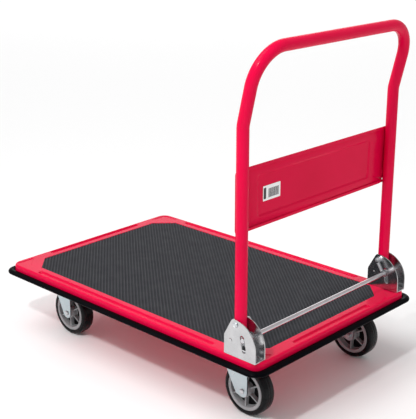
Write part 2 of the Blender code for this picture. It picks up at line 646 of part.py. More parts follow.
def swivel_castor(tag, x, y):
    """Swivel castor: plate, kingpin and ball race above, fork below on the kingpin's axis."""
    pin_x = x - SWIVEL_TRAIL
    plate_low = CASTOR_HEIGHT - PLATE_STEEL
    plate = castor_plate("castor_plate_" + tag, ZINC, pin_x, y)
    combine(plate, cylinder(f"plate_bore_{tag}", KINGPIN_RADIUS + GAP, 0.02, None,
                            (pin_x, y, plate_low)), "DIFFERENCE")

    head_top = CASTOR_HEIGHT - HEAD_DROP
    race_low = head_top + GAP
    race_top = plate_low - GAP
    race_mid = (race_low + race_top) / 2
    race_half = (race_top - race_low) / 2
    neck = RACE_OUTER - RACE_BULGE
    bulge = arc(neck, 0.0, RACE_BULGE, 45, -45, 2)
    race_profile = [(RACE_INNER, race_half), (neck, race_half)]
    race_profile += [(r, h * race_half / RACE_BULGE) for r, h in bulge]
    race_profile += [(neck, -race_half), (RACE_INNER, -race_half)]
    turned("swivel_race_" + tag, race_profile, DARK_STEEL, (pin_x, y, race_mid), "Z", 24)

    outer = FORK_GAP / 2 + FORK_STEEL
    head_low = head_top - FORK_STEEL
    top = head_top - WHEEL_RADIUS - LEG_SINK
    outline = leg_outline(-SWIVEL_TRAIL - HEAD_RADIUS, top, SWIVEL_LEG_BELLY)
    outline = [(a + SWIVEL_TRAIL, b) for a, b in outline]
    name = "fork_" + tag
    fork = add_object(name, leg_pair(name, outline), ZINC, (pin_x, y, WHEEL_RADIUS))
    combine(fork, box(f"fork_gap_{tag}", (0.2, FORK_GAP, head_low), None,
                      (pin_x, y, head_low / 2)), "DIFFERENCE")
    head_plan = arc(0, 0, HEAD_RADIUS, 50, 310, 14)
    rear = SWIVEL_TRAIL + FORK_BOSS
    head_plan += [(rear, -outer), (rear, outer)]
    head_name = f"fork_head_{tag}"
    head_mesh = mesh_from(head_name, extruded(head_name, [head_plan], 0, FORK_STEEL))
    head = add_object(head_name, head_mesh, None, (pin_x, y, head_low))
    combine(fork, head, "UNION")
    combine(fork, cylinder(f"head_bore_{tag}", KINGPIN_RADIUS + GAP, 0.02, None,
                           (pin_x, y, head_low)), "DIFFERENCE")
    add_leg_holes(fork, tag, x, y)

    pin_top = CASTOR_HEIGHT - KINGPIN_BELOW_PLATE
    pin_low = head_low - GAP
    pin = cylinder("kingpin_" + tag, KINGPIN_HEAD, KINGPIN_HEAD_H, BRIGHT_STEEL,
                   (pin_x, y, pin_low - KINGPIN_HEAD_H / 2), "Z", 6)
    shank = pin_top - pin_low + KINGPIN_HEAD_H / 2
    combine(pin, cylinder(f"kingpin_shank_{tag}", KINGPIN_RADIUS, shank, None,
                          (pin_x, y, pin_top - shank / 2)), "UNION")
    wheel(tag, x, y)


for side_tag, side_sign in (("left", -1), ("right", 1)):
    fixed_castor("front_" + side_tag, FIXED_AXLE_X, side_sign * CASTOR_Y)
    swivel_castor("rear_" + side_tag, SWIVEL_AXLE_X, side_sign * CASTOR_Y)


# ---------------------------------------------------------------- handle
def upright_point(distance):
    """Point (x, z) on an upright's centreline, at a distance along it above the deck."""
    bend = LEAN_RADIUS * LEAN_ANGLE
    if distance <= LEAN_START:
        return HANDLE_X, DECK_TOP + distance
    angle = min((distance - LEAN_START) / LEAN_RADIUS, LEAN_ANGLE)
    x = HANDLE_X + LEAN_RADIUS * (1 - math.cos(angle))
    z = DECK_TOP + LEAN_START + LEAN_RADIUS * math.sin(angle)
    rest = max(distance - LEAN_START - bend, 0.0)
    return x + rest * math.sin(LEAN_ANGLE), z + rest * math.cos(LEAN_ANGLE)


bend_rise = LEAN_RADIUS * math.sin(LEAN_ANGLE)
leg_length = (LEAN_START + LEAN_RADIUS * LEAN_ANGLE
              + (HANDLE_RISE - LEAN_START - bend_rise) / math.cos(LEAN_ANGLE))
stations = [PIVOT_RISE - TUBE_TAIL, LEAN_START]
stations += [LEAN_START + LEAN_RADIUS * LEAN_ANGLE * k / 3 for k in (1, 2, 3)]
half_path = [(upright_point(s)[0], -HANDLE_Y, upright_point(s)[1]) for s in stations]
for k in range(0, 8):
    turn_angle = math.pi / 2 * k / 7
    px, pz = upright_point(leg_length - GRIP_RADIUS * (1 - math.sin(turn_angle)))
    half_path.append((px, -HANDLE_Y + GRIP_RADIUS * (1 - math.cos(turn_angle)), pz))
full_path = half_path + [(px, -py, pz) for px, py, pz in reversed(half_path)]

pivot = Vector((HANDLE_X, 0.0, PIVOT_Z))


def tube_mesh(name, path, radius, around, origin, caps):
    curve = bpy.data.curves.new(name, "CURVE")
    curve.dimensions = "3D"
    curve.bevel_depth = radius
    curve.bevel_resolution = around
    curve.use_fill_caps = caps
    spline = curve.splines.new("POLY")
    spline.points.add(len(path) - 1)
    for point, place in zip(spline.points, path):
        point.co = (*(Vector(place) - Vector(origin)), 1.0)
    bm = mesh_from_curve(name, curve)
    bpy.data.curves.remove(curve)
    return bm


handle_form = tube_mesh("handle_tube", full_path, TUBE_RADIUS, 4, pivot, False)
handle = add_object("handle_tube", mesh_from("handle_tube", handle_form), RED_PAINT, pivot, True)
wall = handle.modifiers.new("Wall", "SOLIDIFY")
wall.thickness = TUBE_WALL
wall.offset = -1
for side in (-1, 1):
    combine(handle, cylinder(f"handle_bore_{side}", BOLT_RADIUS + GAP, 0.04, None,
                             (HANDLE_X, side * HANDLE_Y, PIVOT_Z), "Y", 16), "DIFFERENCE")

# panel between the uprights, on their deck side
panel_back = HANDLE_X - TUBE_RADIUS - GAP
panel_front = panel_back - PANEL_STEEL
panel_z = DECK_TOP + PANEL_BOTTOM + PANEL_HEIGHT / 2
panel_span = 2 * (HANDLE_Y + PANEL_OVERHANG)
plan = rounded_rect(panel_span, PANEL_HEIGHT, PANEL_CORNER, 0.0, panel_z - PIVOT_Z, 3)
panel_form = extruded("handle_panel", [plan], panel_front - HANDLE_X, panel_back - HANDLE_X, "YZ")
panel = add_object("handle_panel", mesh_from("handle_panel", panel_form), RED_PAINT, pivot)
lip_span = 2 * (HANDLE_Y - TUBE_RADIUS - PANEL_LIP_SIDE_GAP)
for tag, sign in (("top", 1), ("bottom", -1)):
    lip_z = panel_z + sign * ((PANEL_HEIGHT - PANEL_LIP) / 2 - PANEL_LIP_INSET)
    lip = box(f"panel_lip_{tag}", (PANEL_LIP_DEPTH + WELD_IN, lip_span, PANEL_LIP), None,
              (panel_back + (PANEL_LIP_DEPTH - WELD_IN) / 2, 0.0, lip_z))
    combine(panel, lip, "UNION")
field_w = panel_span - 2 * PANEL_FIELD_SIDE
field_h = PANEL_HEIGHT - 2 * PANEL_FIELD_END
for tag, inset, sheet_face, past, operation in (
        ("boss", 0.0, panel_front, WELD_IN, "UNION"),
        ("hollow", PANEL_STEEL, panel_back, CUT_PAST, "DIFFERENCE")):
    plan = rounded_rect(field_w - 2 * inset, field_h - 2 * inset, PANEL_FIELD_CORNER - inset,
                        0.0, 0.0, 3)
    form = extruded("panel_field_" + tag, [plan], -PANEL_FIELD_DEPTH, past, "YZ")
    combine(panel, add_object("panel_field_" + tag, mesh_from("panel_field_" + tag, form), None,
                              (sheet_face, 0.0, panel_z)), operation)
for side in (-1, 1):
    drain = cylinder(f"panel_drain_{side}", DRAIN_RADIUS, CUT_PAST, None,
                     (panel_back, side * (HANDLE_Y - DRAIN_INSET),
                      DECK_TOP + PANEL_BOTTOM + DRAIN_RISE), "Z", 12)
    drain.rotation_euler = (0, math.pi / 2, 0)
    combine(panel, drain, "DIFFERENCE")

label_x = panel_back - PANEL_FIELD_DEPTH + GAP + LABEL_THICK / 2
label_y = -field_w / 2 + LABEL_INSET + LABEL_WIDTH / 2
box("label", (LABEL_THICK, LABEL_WIDTH, LABEL_HEIGHT), PAPER, (label_x, label_y, panel_z))

# ---------------------------------------------------------------- hinge brackets
slot_way = Vector((math.sin(SLOT_SLANT), 0.0, -math.cos(SLOT_SLANT)))
lock_rest = Vector((HANDLE_X + LOCK_BACK, 0.0, PIVOT_Z - LOCK_DROP))
slot_top = lock_rest - slot_way * LOCK_BELOW_SLOT_TOP
slot_bottom = lock_rest + slot_way * (LOCK_TRAVEL + LOCK_CLEARANCE)
foot = DECK_TOP + GAP
arc_x = BRACKET_FRONT + BRACKET_LENGTH - BRACKET_ARC
arc_z = BRACKET_HEIGHT - BRACKET_ARC


def bracket_outline():
    """Side view of the bracket, from its front foot round over the curved back."""
    front = BRACKET_FRONT
    rear = BRACKET_FRONT + BRACKET_LENGTH
    out = [(front, 0.0), (rear, 0.0)]
    out += arc(arc_x, arc_z, BRACKET_ARC, 0, BRACKET_ARC_SWEEP, 11)
    out += [(arc_x - BRACKET_CROWN_RUN, BRACKET_HEIGHT - BRACKET_CROWN_DROP),
            (arc_x - BRACKET_NOSE_RUN, BRACKET_HEIGHT - BRACKET_NOSE_DROP),
            (front + BRACKET_FRONT_LEAN, BRACKET_SHOULDER + BRACKET_FRONT_BEND),
            (front, BRACKET_SHOULDER)]
    return out


def slot_outline(radius):
    """Round-ended slot about the line that the lock bar slides along."""
    lean = -math.degrees(SLOT_SLANT)
    low = arc(slot_bottom.x, slot_bottom.z, radius, 180 - lean, 360 - lean, 6)
    high = arc(slot_top.x, slot_top.z, radius, -lean, 180 - lean, 6)
    return low + high


def hinge_bracket(tag, sign):
    y = sign * HANDLE_Y
    name = "hinge_bracket_" + tag
    bm = extruded(name, [bracket_outline()], -BRACKET_WIDTH / 2, BRACKET_WIDTH / 2, "XZ")
    bracket = add_object(name, mesh_from(name, bm), ZINC, (0, y, foot))
    inner = BRACKET_WIDTH - 2 * BRACKET_STEEL
    slot = extruded("slot", [slot_outline(LOCK_RADIUS + LOCK_CLEARANCE)], -CUT_PAST, CUT_PAST, "XZ")
    combine(bracket, add_object(f"bracket_slot_{tag}", mesh_from("slot", slot), None, (0, y, 0)),
            "DIFFERENCE")
    combine(bracket, cylinder(f"bracket_pivot_bore_{tag}", BOLT_RADIUS + GAP, 0.08, None,
                              (HANDLE_X, y, PIVOT_Z), "Y", 12), "DIFFERENCE")
    crescent = arc(0, 0, CRESCENT_OUTER, -20, 130, 4) + arc(0, 0, CRESCENT_INNER, 130, -20, 4)
    slit = extruded("crescent", [crescent], -CUT_PAST, CUT_PAST, "XZ")
    combine(bracket, add_object(f"bracket_crescent_{tag}", mesh_from("crescent", slit), None,
                                (BRACKET_FRONT + CRESCENT_X, y, foot + CRESCENT_Z)), "DIFFERENCE")
    for distance in FOOT_BOLTS:
        place = (BRACKET_FRONT + distance, y, foot)
        combine(bracket, cylinder(f"bracket_foot_bore_{tag}_{distance}", BOLT_RADIUS + GAP, 0.02,
                                  None, place), "DIFFERENCE")
    combine(bracket, box(f"bracket_channel_{tag}", (0.3, inner, 0.2), None,
                         (HANDLE_X, y, foot + BRACKET_STEEL + 0.1)), "DIFFERENCE")

    # pivot bolt, head outside, nut inside
    face = BRACKET_WIDTH / 2 + GAP
    half_h = PIVOT_HEAD_H / 2
    shank = 2 * face + SPRING_OFF + PIVOT_PAST_SPRING
    dome = [(0.0, half_h), (PIVOT_HEAD_FLAT, half_h), (PIVOT_HEAD - PIVOT_HEAD_CHAMFER, -half_h / 4),
            (PIVOT_HEAD, -half_h), (0.0, -half_h)]
    bolt = turned("pivot_bolt_" + tag, dome, BRIGHT_STEEL,
                  (HANDLE_X, y + sign * (face + half_h), PIVOT_Z), "Y", 24)
    bolt.rotation_euler = (-sign * math.pi / 2, 0, 0)
    combine(bolt, cylinder(f"pivot_shank_{tag}", BOLT_RADIUS, shank, None,
                           (HANDLE_X, y + sign * (face + WELD_IN - shank / 2), PIVOT_Z), "Y", 16),
            "UNION")
    nut = cylinder("pivot_nut_" + tag, PIVOT_NUT, PIVOT_NUT_H, BRIGHT_STEEL,
                   (HANDLE_X, y - sign * (face + PIVOT_NUT_H / 2), PIVOT_Z), "Y", 6)
    combine(nut, cylinder(f"pivot_nut_bore_{tag}", BOLT_RADIUS + GAP, 0.02, None,
                          (HANDLE_X, y - sign * face, PIVOT_Z), "Y", 16), "DIFFERENCE")

    for number, distance in enumerate(FOOT_BOLTS, 1):
        place = Vector((BRACKET_FRONT + distance, y, foot + BRACKET_STEEL + GAP))
        head = cylinder(f"foot_bolt_{tag}_{number}", FOOT_HEAD, FOOT_HEAD_H, BRIGHT_STEEL,
                        place + Vector((0, 0, FOOT_HEAD_H / 2)), "Z", 6)
        reach = FOOT_SHANK + WELD_IN
        combine(head, cylinder(f"foot_shank_{tag}_{number}", BOLT_RADIUS, reach, None,
                               place + Vector((0, 0, WELD_IN - reach / 2)), "Z", 16), "UNION")


for side_tag, side_sign in (("left", -1), ("right", 1)):
    hinge_bracket(side_tag, side_sign)

# ---------------------------------------------------------------- lock bar, clips and springs
bar_length = 2 * (HANDLE_Y + BRACKET_WIDTH / 2 + LOCK_END)
cylinder("lock_bar", LOCK_RADIUS, bar_length, BRIGHT_STEEL, lock_rest, "Y", 24)
for side_tag, side_sign in (("left", -1), ("right", 1)):
    inner_face = HANDLE_Y - BRACKET_WIDTH / 2
    clip_y = side_sign * (inner_face - GAP - CLIP_THICK / 2)
    bore = LOCK_RADIUS + GAP
    clip_profile = [(bore, CLIP_THICK / 2), (CLIP_RADIUS, CLIP_THICK / 2),
                    (CLIP_RADIUS, -CLIP_THICK / 2), (bore, -CLIP_THICK / 2)]
    turned("lock_clip_" + side_tag, clip_profile, DARK_STEEL,
           (lock_rest.x, clip_y, lock_rest.z), "Y", 20)

    # extension spring from the pivot bolt's end down to the lock bar
    spring_y = side_sign * (inner_face - SPRING_OFF)
    upper = Vector((HANDLE_X, spring_y, PIVOT_Z))
    lower = Vector((lock_rest.x, spring_y, lock_rest.z))
    down = (lower - upper).normalized()
    across = Vector((0, 1, 0))
    third = down.cross(across)
    wire = SPRING_WIRE
    path = []
    eye_top = BOLT_RADIUS + GAP + wire
    eye_low = LOCK_RADIUS + GAP + wire
    start = eye_top + SPRING_LEAD
    end = (lower - upper).length - eye_low - SPRING_LEAD
    for k in range(9):
        angle = math.radians(SPRING_HOOK * (1 - k / 8))
        path.append(upper + (-down * math.sin(angle) + third * math.cos(angle)) * eye_top)
    turns = SPRING_TURNS * 6
    for k in range(turns + 1):
        angle = 2 * math.pi * k / 6
        along = start + (end - start) * k / turns
        path.append(upper + down * along
                    + (third * math.cos(angle) + across * math.sin(angle)) * SPRING_RADIUS)
    for k in range(9):
        angle = math.radians(180 - SPRING_HOOK * (0.8 + k / 8))
        path.append(lower + (-down * math.sin(angle) + third * math.cos(angle)) * eye_low)
    name = "return_spring_" + side_tag
    spring_form = tube_mesh(name, path, wire, 0, upper, True)
    add_object(name, mesh_from(name, spring_form), BRIGHT_STEEL, upper, True)
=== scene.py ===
"""Looks of the folding platform cart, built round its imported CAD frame.

Metres, +Z up, in the CAD's own frame: the handle end is +X and the cart's right side is +Y.
Where a piece fits comes from the boxes of the CAD nodes.
"""
import json
import math

import bmesh
import bpy
from mathutils import Matrix, Vector

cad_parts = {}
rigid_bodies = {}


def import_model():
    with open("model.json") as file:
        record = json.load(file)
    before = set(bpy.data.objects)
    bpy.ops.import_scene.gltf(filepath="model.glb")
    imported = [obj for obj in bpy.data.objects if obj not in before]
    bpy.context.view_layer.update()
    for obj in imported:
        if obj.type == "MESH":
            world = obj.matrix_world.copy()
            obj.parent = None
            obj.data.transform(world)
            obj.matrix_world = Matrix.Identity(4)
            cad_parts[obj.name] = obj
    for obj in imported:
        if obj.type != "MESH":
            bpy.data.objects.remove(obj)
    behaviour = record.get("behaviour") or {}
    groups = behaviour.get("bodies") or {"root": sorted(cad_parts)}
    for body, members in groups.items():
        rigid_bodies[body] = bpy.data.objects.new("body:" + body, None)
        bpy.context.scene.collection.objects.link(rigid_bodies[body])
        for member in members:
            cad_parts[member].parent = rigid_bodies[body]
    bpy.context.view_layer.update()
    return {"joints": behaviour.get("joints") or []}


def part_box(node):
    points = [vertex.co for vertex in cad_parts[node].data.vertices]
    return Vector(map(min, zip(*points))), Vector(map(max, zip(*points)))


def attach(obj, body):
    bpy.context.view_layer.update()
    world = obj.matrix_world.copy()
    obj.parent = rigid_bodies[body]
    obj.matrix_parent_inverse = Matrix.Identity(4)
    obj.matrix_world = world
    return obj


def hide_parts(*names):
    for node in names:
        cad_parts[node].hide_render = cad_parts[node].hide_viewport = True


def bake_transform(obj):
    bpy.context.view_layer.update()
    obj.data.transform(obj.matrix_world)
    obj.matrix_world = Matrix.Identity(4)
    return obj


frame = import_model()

scene = bpy.context.scene
SIDES = (("left", -1), ("right", 1))

# -------------------- places taken from the frame
deck_low, deck_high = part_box("deck_pan")
mat_low, mat_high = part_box("deck_mat")
bumper_low, bumper_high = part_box("bumper_strip")
panel_low, panel_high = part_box("handle_panel")
label_low, label_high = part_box("label")
tube_low, tube_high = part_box("handle_tube")
bar_low, bar_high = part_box("lock_bar")
joints = {joint["name"]: joint for joint in frame["joints"]}
PIVOT = Vector(joints["handle_fold"]["pos_m"])
LOCK_WAY = Vector(joints["lock_press"]["axis"])
LOCK_TRAVEL = joints["lock_press"]["range_m"][1]
LOCK_REST = (bar_low + bar_high) / 2
DECK_TOP = deck_high.z
DECK_X, DECK_Y = deck_high.x, deck_high.y

# -------------------- sizes of the sheet metal and tube
GAP = 0.0003
SHEET = 0.0015
DECK_CORNER = 0.028
DECK_EDGE = 0.005
RIM = 0.006
GROOVE_WIDTH = 0.018
GROOVE_DEPTH = 0.004
GROOVE_SLOPE = 0.0028
GROOVE_END_FRONT = 0.104
GROOVE_END_REAR = 0.139
FRONT_GROOVE_END = 0.124
REAR_GROOVE_END = 0.143
PATCH_SETBACK = 0.010
PATCH_LEG = 0.060
PATCH_DEPTH = 0.0015
MAT_RECESS = 0.0038
MAT_CHAMFER = 0.049
RIB_PITCH = 0.0080
RIB_HEIGHT = 0.0015
RIB_ANGLE = math.radians(138.7)
TUBE_RADIUS = 0.0136
TUBE_WALL = 0.0016
LEAN_START = 0.506
LEAN_ANGLE = math.radians(13.3)
LEAN_RADIUS = 0.055
GRIP_RADIUS = 0.081
PANEL_STEEL = 0.0012
PANEL_CORNER = 0.011
PANEL_LIP = 0.007
FIELD_SIDE = 0.070
FIELD_END = 0.022
FIELD_DEPTH = 0.0022
DRAIN_RADIUS = 0.0024
DRAIN_INSET = 0.0045
DRAIN_RISE = 0.0085
BRACKET_STEEL = 0.0025
FIELD_CORNER = 0.008
FIELD_SLOPE = 0.0045
FIELD_TRIM = 0.0003
HEM_THICK = 0.0031
HEM_CORNER = 0.0014
HEM_SETBACK = 0.0003
HEM_SIDE_GAP = 0.004
WELD_LENGTH = 0.020
WELD_RADIUS = 0.0016
WELD_INSET = 0.0072
CHANNEL_STEEL = 0.0025
CHANNEL_FLANGE = 0.016
BRACKET_ARC = 0.0614
BRACKET_ARC_SWEEP = 92
BRACKET_CROWN_RUN = 0.0058
BRACKET_CROWN_DROP = 0.0022
BRACKET_NOSE_RUN = 0.0088
BRACKET_NOSE_DROP = 0.0066
BRACKET_FRONT_LEAN = 0.0006
BRACKET_FRONT_TOP = 0.046
BRACKET_FRONT_BEND = 0.042
CRESCENT_X = 0.0185
CRESCENT_Z = 0.0355
CRESCENT_OUTER = 0.0052
CRESCENT_INNER = 0.0036
SLOT_PLAY = 0.0005
SLOT_HEADROOM = 0.0060

# -------------------- sizes of the fasteners and springs
BOLT_RADIUS = 0.004
PIVOT_HEAD = 0.0065
AXLE_HEAD = 0.0063
HEAD_RISE = 0.0020
FOOT_HEX = 0.0070
FOOT_HEX_TALL = 0.005
PLATE_HEX = 0.0062
PLATE_HEX_TALL = 0.0042
PLATE_SHANK = 0.0035
PLATE_SHANK_LONG = 0.010
PLATE_BOLT_X = 0.043
PLATE_BOLT_Y = 0.0335
PLATE_BOLT_LIFT = 0.0027
KINGPIN_HEX = 0.0115
KINGPIN_HEX_TALL = 0.006
KINGPIN_SHANK = 0.006
SPRING_WIRE = 0.0008
SPRING_LEAD = 0.0012
SPRING_TURNS = 9

# -------------------- sizes of the castors
RIM_RING = 0.0092
WEB_HALF = 0.003
HUB_RADIUS = 0.0165
HUB_BORE = 0.0078
SPOKES = 6
SPOKE_THICK = 0.0032
SPOKE_DEPTH_SHARE = 0.82
FORK_STEEL = 0.0028
FORK_INNER_HALF = 0.0229
FORK_BOSS = 0.0145
FORK_BELLY = 0.006
FIXED_LEG_TOP = 0.059
FIXED_PLATE_LENGTH = 0.105
FIXED_PLATE_WIDTH = 0.084
FIXED_PLATE_SETBACK = 0.018
PLATE_CORNER = 0.006
SWIVEL_LEAD = 0.034
SWIVEL_HEAD = 0.035
SWIVEL_NECK = 47.3
KINGPIN_BORE = 0.0063
RACE_BORE = 0.0215
RACE_ROUND = 0.0018

# -------------------- where the camera stands
CAMERA_PLACE = (1.6931, -1.7596, 1.1722)
CAMERA_RIGHT = (0.7249, 0.6888, 0.0001)
CAMERA_BACK = (0.6539, -0.6882, 0.3143)
CAMERA_LENS = 86.34


# -------------------- materials
def new_material(name, colour, roughness, metallic=0.0):
    """A Principled material and its shader node."""
    mat = bpy.data.materials.new(name)
    mat.use_nodes = True
    shader = mat.node_tree.nodes["Principled BSDF"]
    shader.inputs["Base Color"].default_value = (*colour, 1.0)
    shader.inputs["Roughness"].default_value = roughness
    shader.inputs["Metallic"].default_value = metallic
    return mat, shader


def noise(mat, scale, detail=3.0, stretch=(1, 1, 1)):
    """Noise in the piece's own metres; stretch squeezes it along each axis."""
    nodes, links = mat.node_tree.nodes, mat.node_tree.links
    where = nodes.new("ShaderNodeTexCoord")
    place = nodes.new("ShaderNodeMapping")
    place.inputs["Scale"].default_value = stretch
    texture = nodes.new("ShaderNodeTexNoise")
    texture.inputs["Scale"].default_value = scale
    texture.inputs["Detail"].default_value = detail
    links.new(where.outputs["Object"], place.inputs["Vector"])
    links.new(place.outputs["Vector"], texture.inputs["Vector"])
    return texture.outputs["Fac"]


def spread(mat, value, low, high, start=0.3, end=0.7):
    """Map a 0..1 value onto a range."""
    node = mat.node_tree.nodes.new("ShaderNodeMapRange")
    node.inputs["From Min"].default_value = start
    node.inputs["From Max"].default_value = end
    node.inputs["To Min"].default_value = low
    node.inputs["To Max"].default_value = high
    mat.node_tree.links.new(value, node.inputs["Value"])
    return node.outputs["Result"]


def blend_colours(mat, factor, first, second):
    """Colour that goes from first to second as factor goes from 0 to 1."""
    node = mat.node_tree.nodes.new("ShaderNodeMix")
    node.data_type = "RGBA"
    node.inputs["A"].default_value = (*first, 1.0)
    node.inputs["B"].default_value = (*second, 1.0)
    mat.node_tree.links.new(factor, node.inputs["Factor"])
    return node.outputs["Result"]


def add_bump(mat, height, strength, distance):
    """Roughen a material's normals by a height value."""
    node = mat.node_tree.nodes.new("ShaderNodeBump")
    node.inputs["Strength"].default_value = strength
    node.inputs["Distance"].default_value = distance
    mat.node_tree.links.new(height, node.inputs["Height"])
    shader = mat.node_tree.nodes["Principled BSDF"]
    mat.node_tree.links.new(node.outputs["Normal"], shader.inputs["Normal"])


def red_paint():
    """Powder coat: soft orange peel, slight changes of depth and gloss, a clear top."""
    mat, shader = new_material("red_paint", (0.60, 0.004, 0.035), 0.3)
    link = mat.node_tree.links.new
    shader.inputs["Specular IOR Level"].default_value = 0.05
    shader.inputs["Coat Weight"].default_value = 0.06
    shader.inputs["Coat Roughness"].default_value = 0.05
    shade = spread(mat, noise(mat, 9.0), 0.0, 1.0)
    link(blend_colours(mat, shade, (0.660, 0.0010, 0.044), (0.715, 0.0016, 0.052)),
         shader.inputs["Base Color"])
    link(spread(mat, noise(mat, 6.0, 1.0), 0.24, 0.27), shader.inputs["Roughness"])
    add_bump(mat, noise(mat, 240.0, 1.0), 0.05, 0.0003)
    return mat


def plated(name, colour, dark, rough, stretch=(1, 1, 1)):
    """Zinc plate on pressed steel: cloudy patches, fine grain and small handling marks."""
    mat, shader = new_material(name, colour, rough, 1.0)
    link = mat.node_tree.links.new
    grain = 70.0
    cloud = spread(mat, noise(mat, 45.0, 5.0), 0.0, 1.0)
    link(blend_colours(mat, cloud, dark, colour), shader.inputs["Base Color"])
    link(spread(mat, noise(mat, grain, 2.0, stretch), rough - 0.05, rough + 0.07),
         shader.inputs["Roughness"])
    add_bump(mat, noise(mat, grain * 6, 2.0, stretch), 0.06, 0.0003)
    return mat


def rubber(name, colour, paler, rough, grain, shine=0.06):
    """Moulded rubber: matt, a little dusty, with a fine pebbled skin."""
    mat, shader = new_material(name, colour, rough)
    link = mat.node_tree.links.new
    shader.inputs["Specular IOR Level"].default_value = shine
    dust = spread(mat, noise(mat, 22.0, 6.0), 0.0, 1.0, 0.45, 0.8)
    link(blend_colours(mat, dust, colour, paler), shader.inputs["Base Color"])
    link(spread(mat, noise(mat, 40.0, 2.0), rough - 0.05, rough + 0.07), shader.inputs["Roughness"])
    add_bump(mat, noise(mat, grain, 2.0), 0.08, 0.0003)
    return mat


def plastic(name, colour, paler, rough):
    """Moulded plastic or film: faintly cloudy, with a fine grain."""
    mat, shader = new_material(name, colour, rough)
    link = mat.node_tree.links.new
    link(blend_colours(mat, noise(mat, 30.0, 4.0), colour, paler), shader.inputs["Base Color"])
    link(spread(mat, noise(mat, 200.0, 3.0), rough - 0.06, rough + 0.10), shader.inputs["Roughness"])
    add_bump(mat, noise(mat, 1100.0, 2.0), 0.10, 0.0004)
    return mat


RED = red_paint()
CASTOR_ZINC = plated("castor_zinc", (0.51, 0.59, 0.61), (0.45, 0.53, 0.56), 0.32)
BRIGHT_ZINC = plated("bright_zinc", (0.56, 0.56, 0.57), (0.49, 0.49, 0.50), 0.20)
BAR_STEEL = plated("bright_steel", (0.62, 0.61, 0.63), (0.52, 0.51, 0.53), 0.24, (1, 0.05, 1))
BOLT_STEEL = plated("bolt_steel", (0.66, 0.68, 0.70), (0.54, 0.56, 0.58), 0.42)
DARK_STEEL = plated("dark_steel", (0.40, 0.41, 0.42), (0.24, 0.25, 0.26), 0.42)
MAT_VINYL = rubber("mat_vinyl", (0.041, 0.042, 0.048), (0.047, 0.048, 0.054), 0.60, 900.0)
BUMPER = rubber("bumper_rubber", (0.0015, 0.0015, 0.0025), (0.003, 0.003, 0.004), 0.30, 500.0, 0.02)
TYRE = rubber("tyre_rubber", (0.004, 0.004, 0.005), (0.008, 0.008, 0.009), 0.26, 600.0, 0.12)
# Darker vinyl for the mat's groove faces: painted shade in the grooves between the ribs, not a colour
# of the mat's own.
MAT_GROOVE_PAINTED_SHADE = rubber("mat_groove_painted_shade", (0.030, 0.031, 0.035), (0.034, 0.035, 0.039), 0.70, 900.0)
RIM_GREY = plastic("rim_plastic", (0.27, 0.27, 0.28), (0.33, 0.33, 0.34), 0.46)
# Near-black web inside the rim: painted shade for the dark gaps between the spokes.
RIM_SHADE = rubber("rim_web_painted_shade", (0.005, 0.005, 0.006), (0.009, 0.009, 0.010), 0.60, 700.0)
NYLON = plastic("nylon", (0.70, 0.68, 0.61), (0.78, 0.76, 0.70), 0.50)
PAPER = plastic("paper_label", (0.90, 0.90, 0.90), (0.95, 0.95, 0.95), 0.48)
INK = plastic("label_ink", (0.016, 0.016, 0.018), (0.035, 0.035, 0.038), 0.55)


# -------------------- mesh helpers
tools = bpy.data.collections.new("tools")
scene.collection.children.link(tools)


def add_piece(name, bm, material, place=(0, 0, 0), smooth=True):
    """Link a finished mesh at a place. With no material it is a cutting tool and isn't shown."""
    mesh = bpy.data.meshes.new(name)
    bmesh.ops.recalc_face_normals(bm, faces=bm.faces[:])
    bm.to_mesh(mesh)
    bm.free()
    obj = bpy.data.objects.new(name, mesh)
    obj.location = place
    if smooth:
        mesh.shade_smooth()
    if material is None:
        tools.objects.link(obj)
        obj.hide_render = True
        obj["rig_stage"] = True
    else:
        scene.collection.objects.link(obj)
        mesh.materials.append(material)
    return obj


def arc(cx, cy, radius, start, end, steps):
    """Points along an arc, its angles in degrees."""
    points = []
    for i in range(steps + 1):
        angle = math.radians(start + (end - start) * i / steps)
        points.append((cx + radius * math.cos(angle), cy + radius * math.sin(angle)))
    return points


def rounded_rect(length, width, radius, cx=0.0, cy=0.0, steps=8):
    """Outline of a rectangle with round corners."""
    a, b = length / 2 - radius, width / 2 - radius
    points = []
    for sx, sy, start in ((1, 1, 0), (-1, 1, 90), (-1, -1, 180), (1, -1, 270)):
        points += arc(cx + sx * a, cy + sy * b, radius, start, start + 90, steps)
    return points


def octagon(half_x, half_y, chamfer):
    """Outline of a rectangle with its corners cut off at 45 degrees."""
    return [(half_x, chamfer - half_y), (half_x, half_y - chamfer),
            (half_x - chamfer, half_y), (chamfer - half_x, half_y),
            (-half_x, half_y - chamfer), (-half_x, chamfer - half_y),
            (chamfer - half_x, -half_y), (half_x - chamfer, -half_y)]


TURNS = {
    "XY": Matrix.Identity(4),
    "XZ": Matrix.Rotation(math.pi / 2, 4, "X"),
    "YZ": Matrix.Rotation(math.pi / 2, 4, "Z") @ Matrix.Rotation(math.pi / 2, 4, "X"),
}


def prism(outline, low, high, plane="XY"):
    """Flat outline carried from low to high along the axis its plane leaves out."""
    bm = bmesh.new()
    if plane == "XZ":
        low, high = -high, -low
    under = [bm.verts.new((a, b, low)) for a, b in outline]
    over = [bm.verts.new((a, b, high)) for a, b in outline]
    bm.faces.new(under[::-1])
    bm.faces.new(over)
    for i in range(len(outline)):
        j = (i + 1) % len(outline)
        bm.faces.new((under[i], under[j], over[j], over[i]))
    bmesh.ops.transform(bm, matrix=TURNS[plane], verts=bm.verts[:])
    return bm


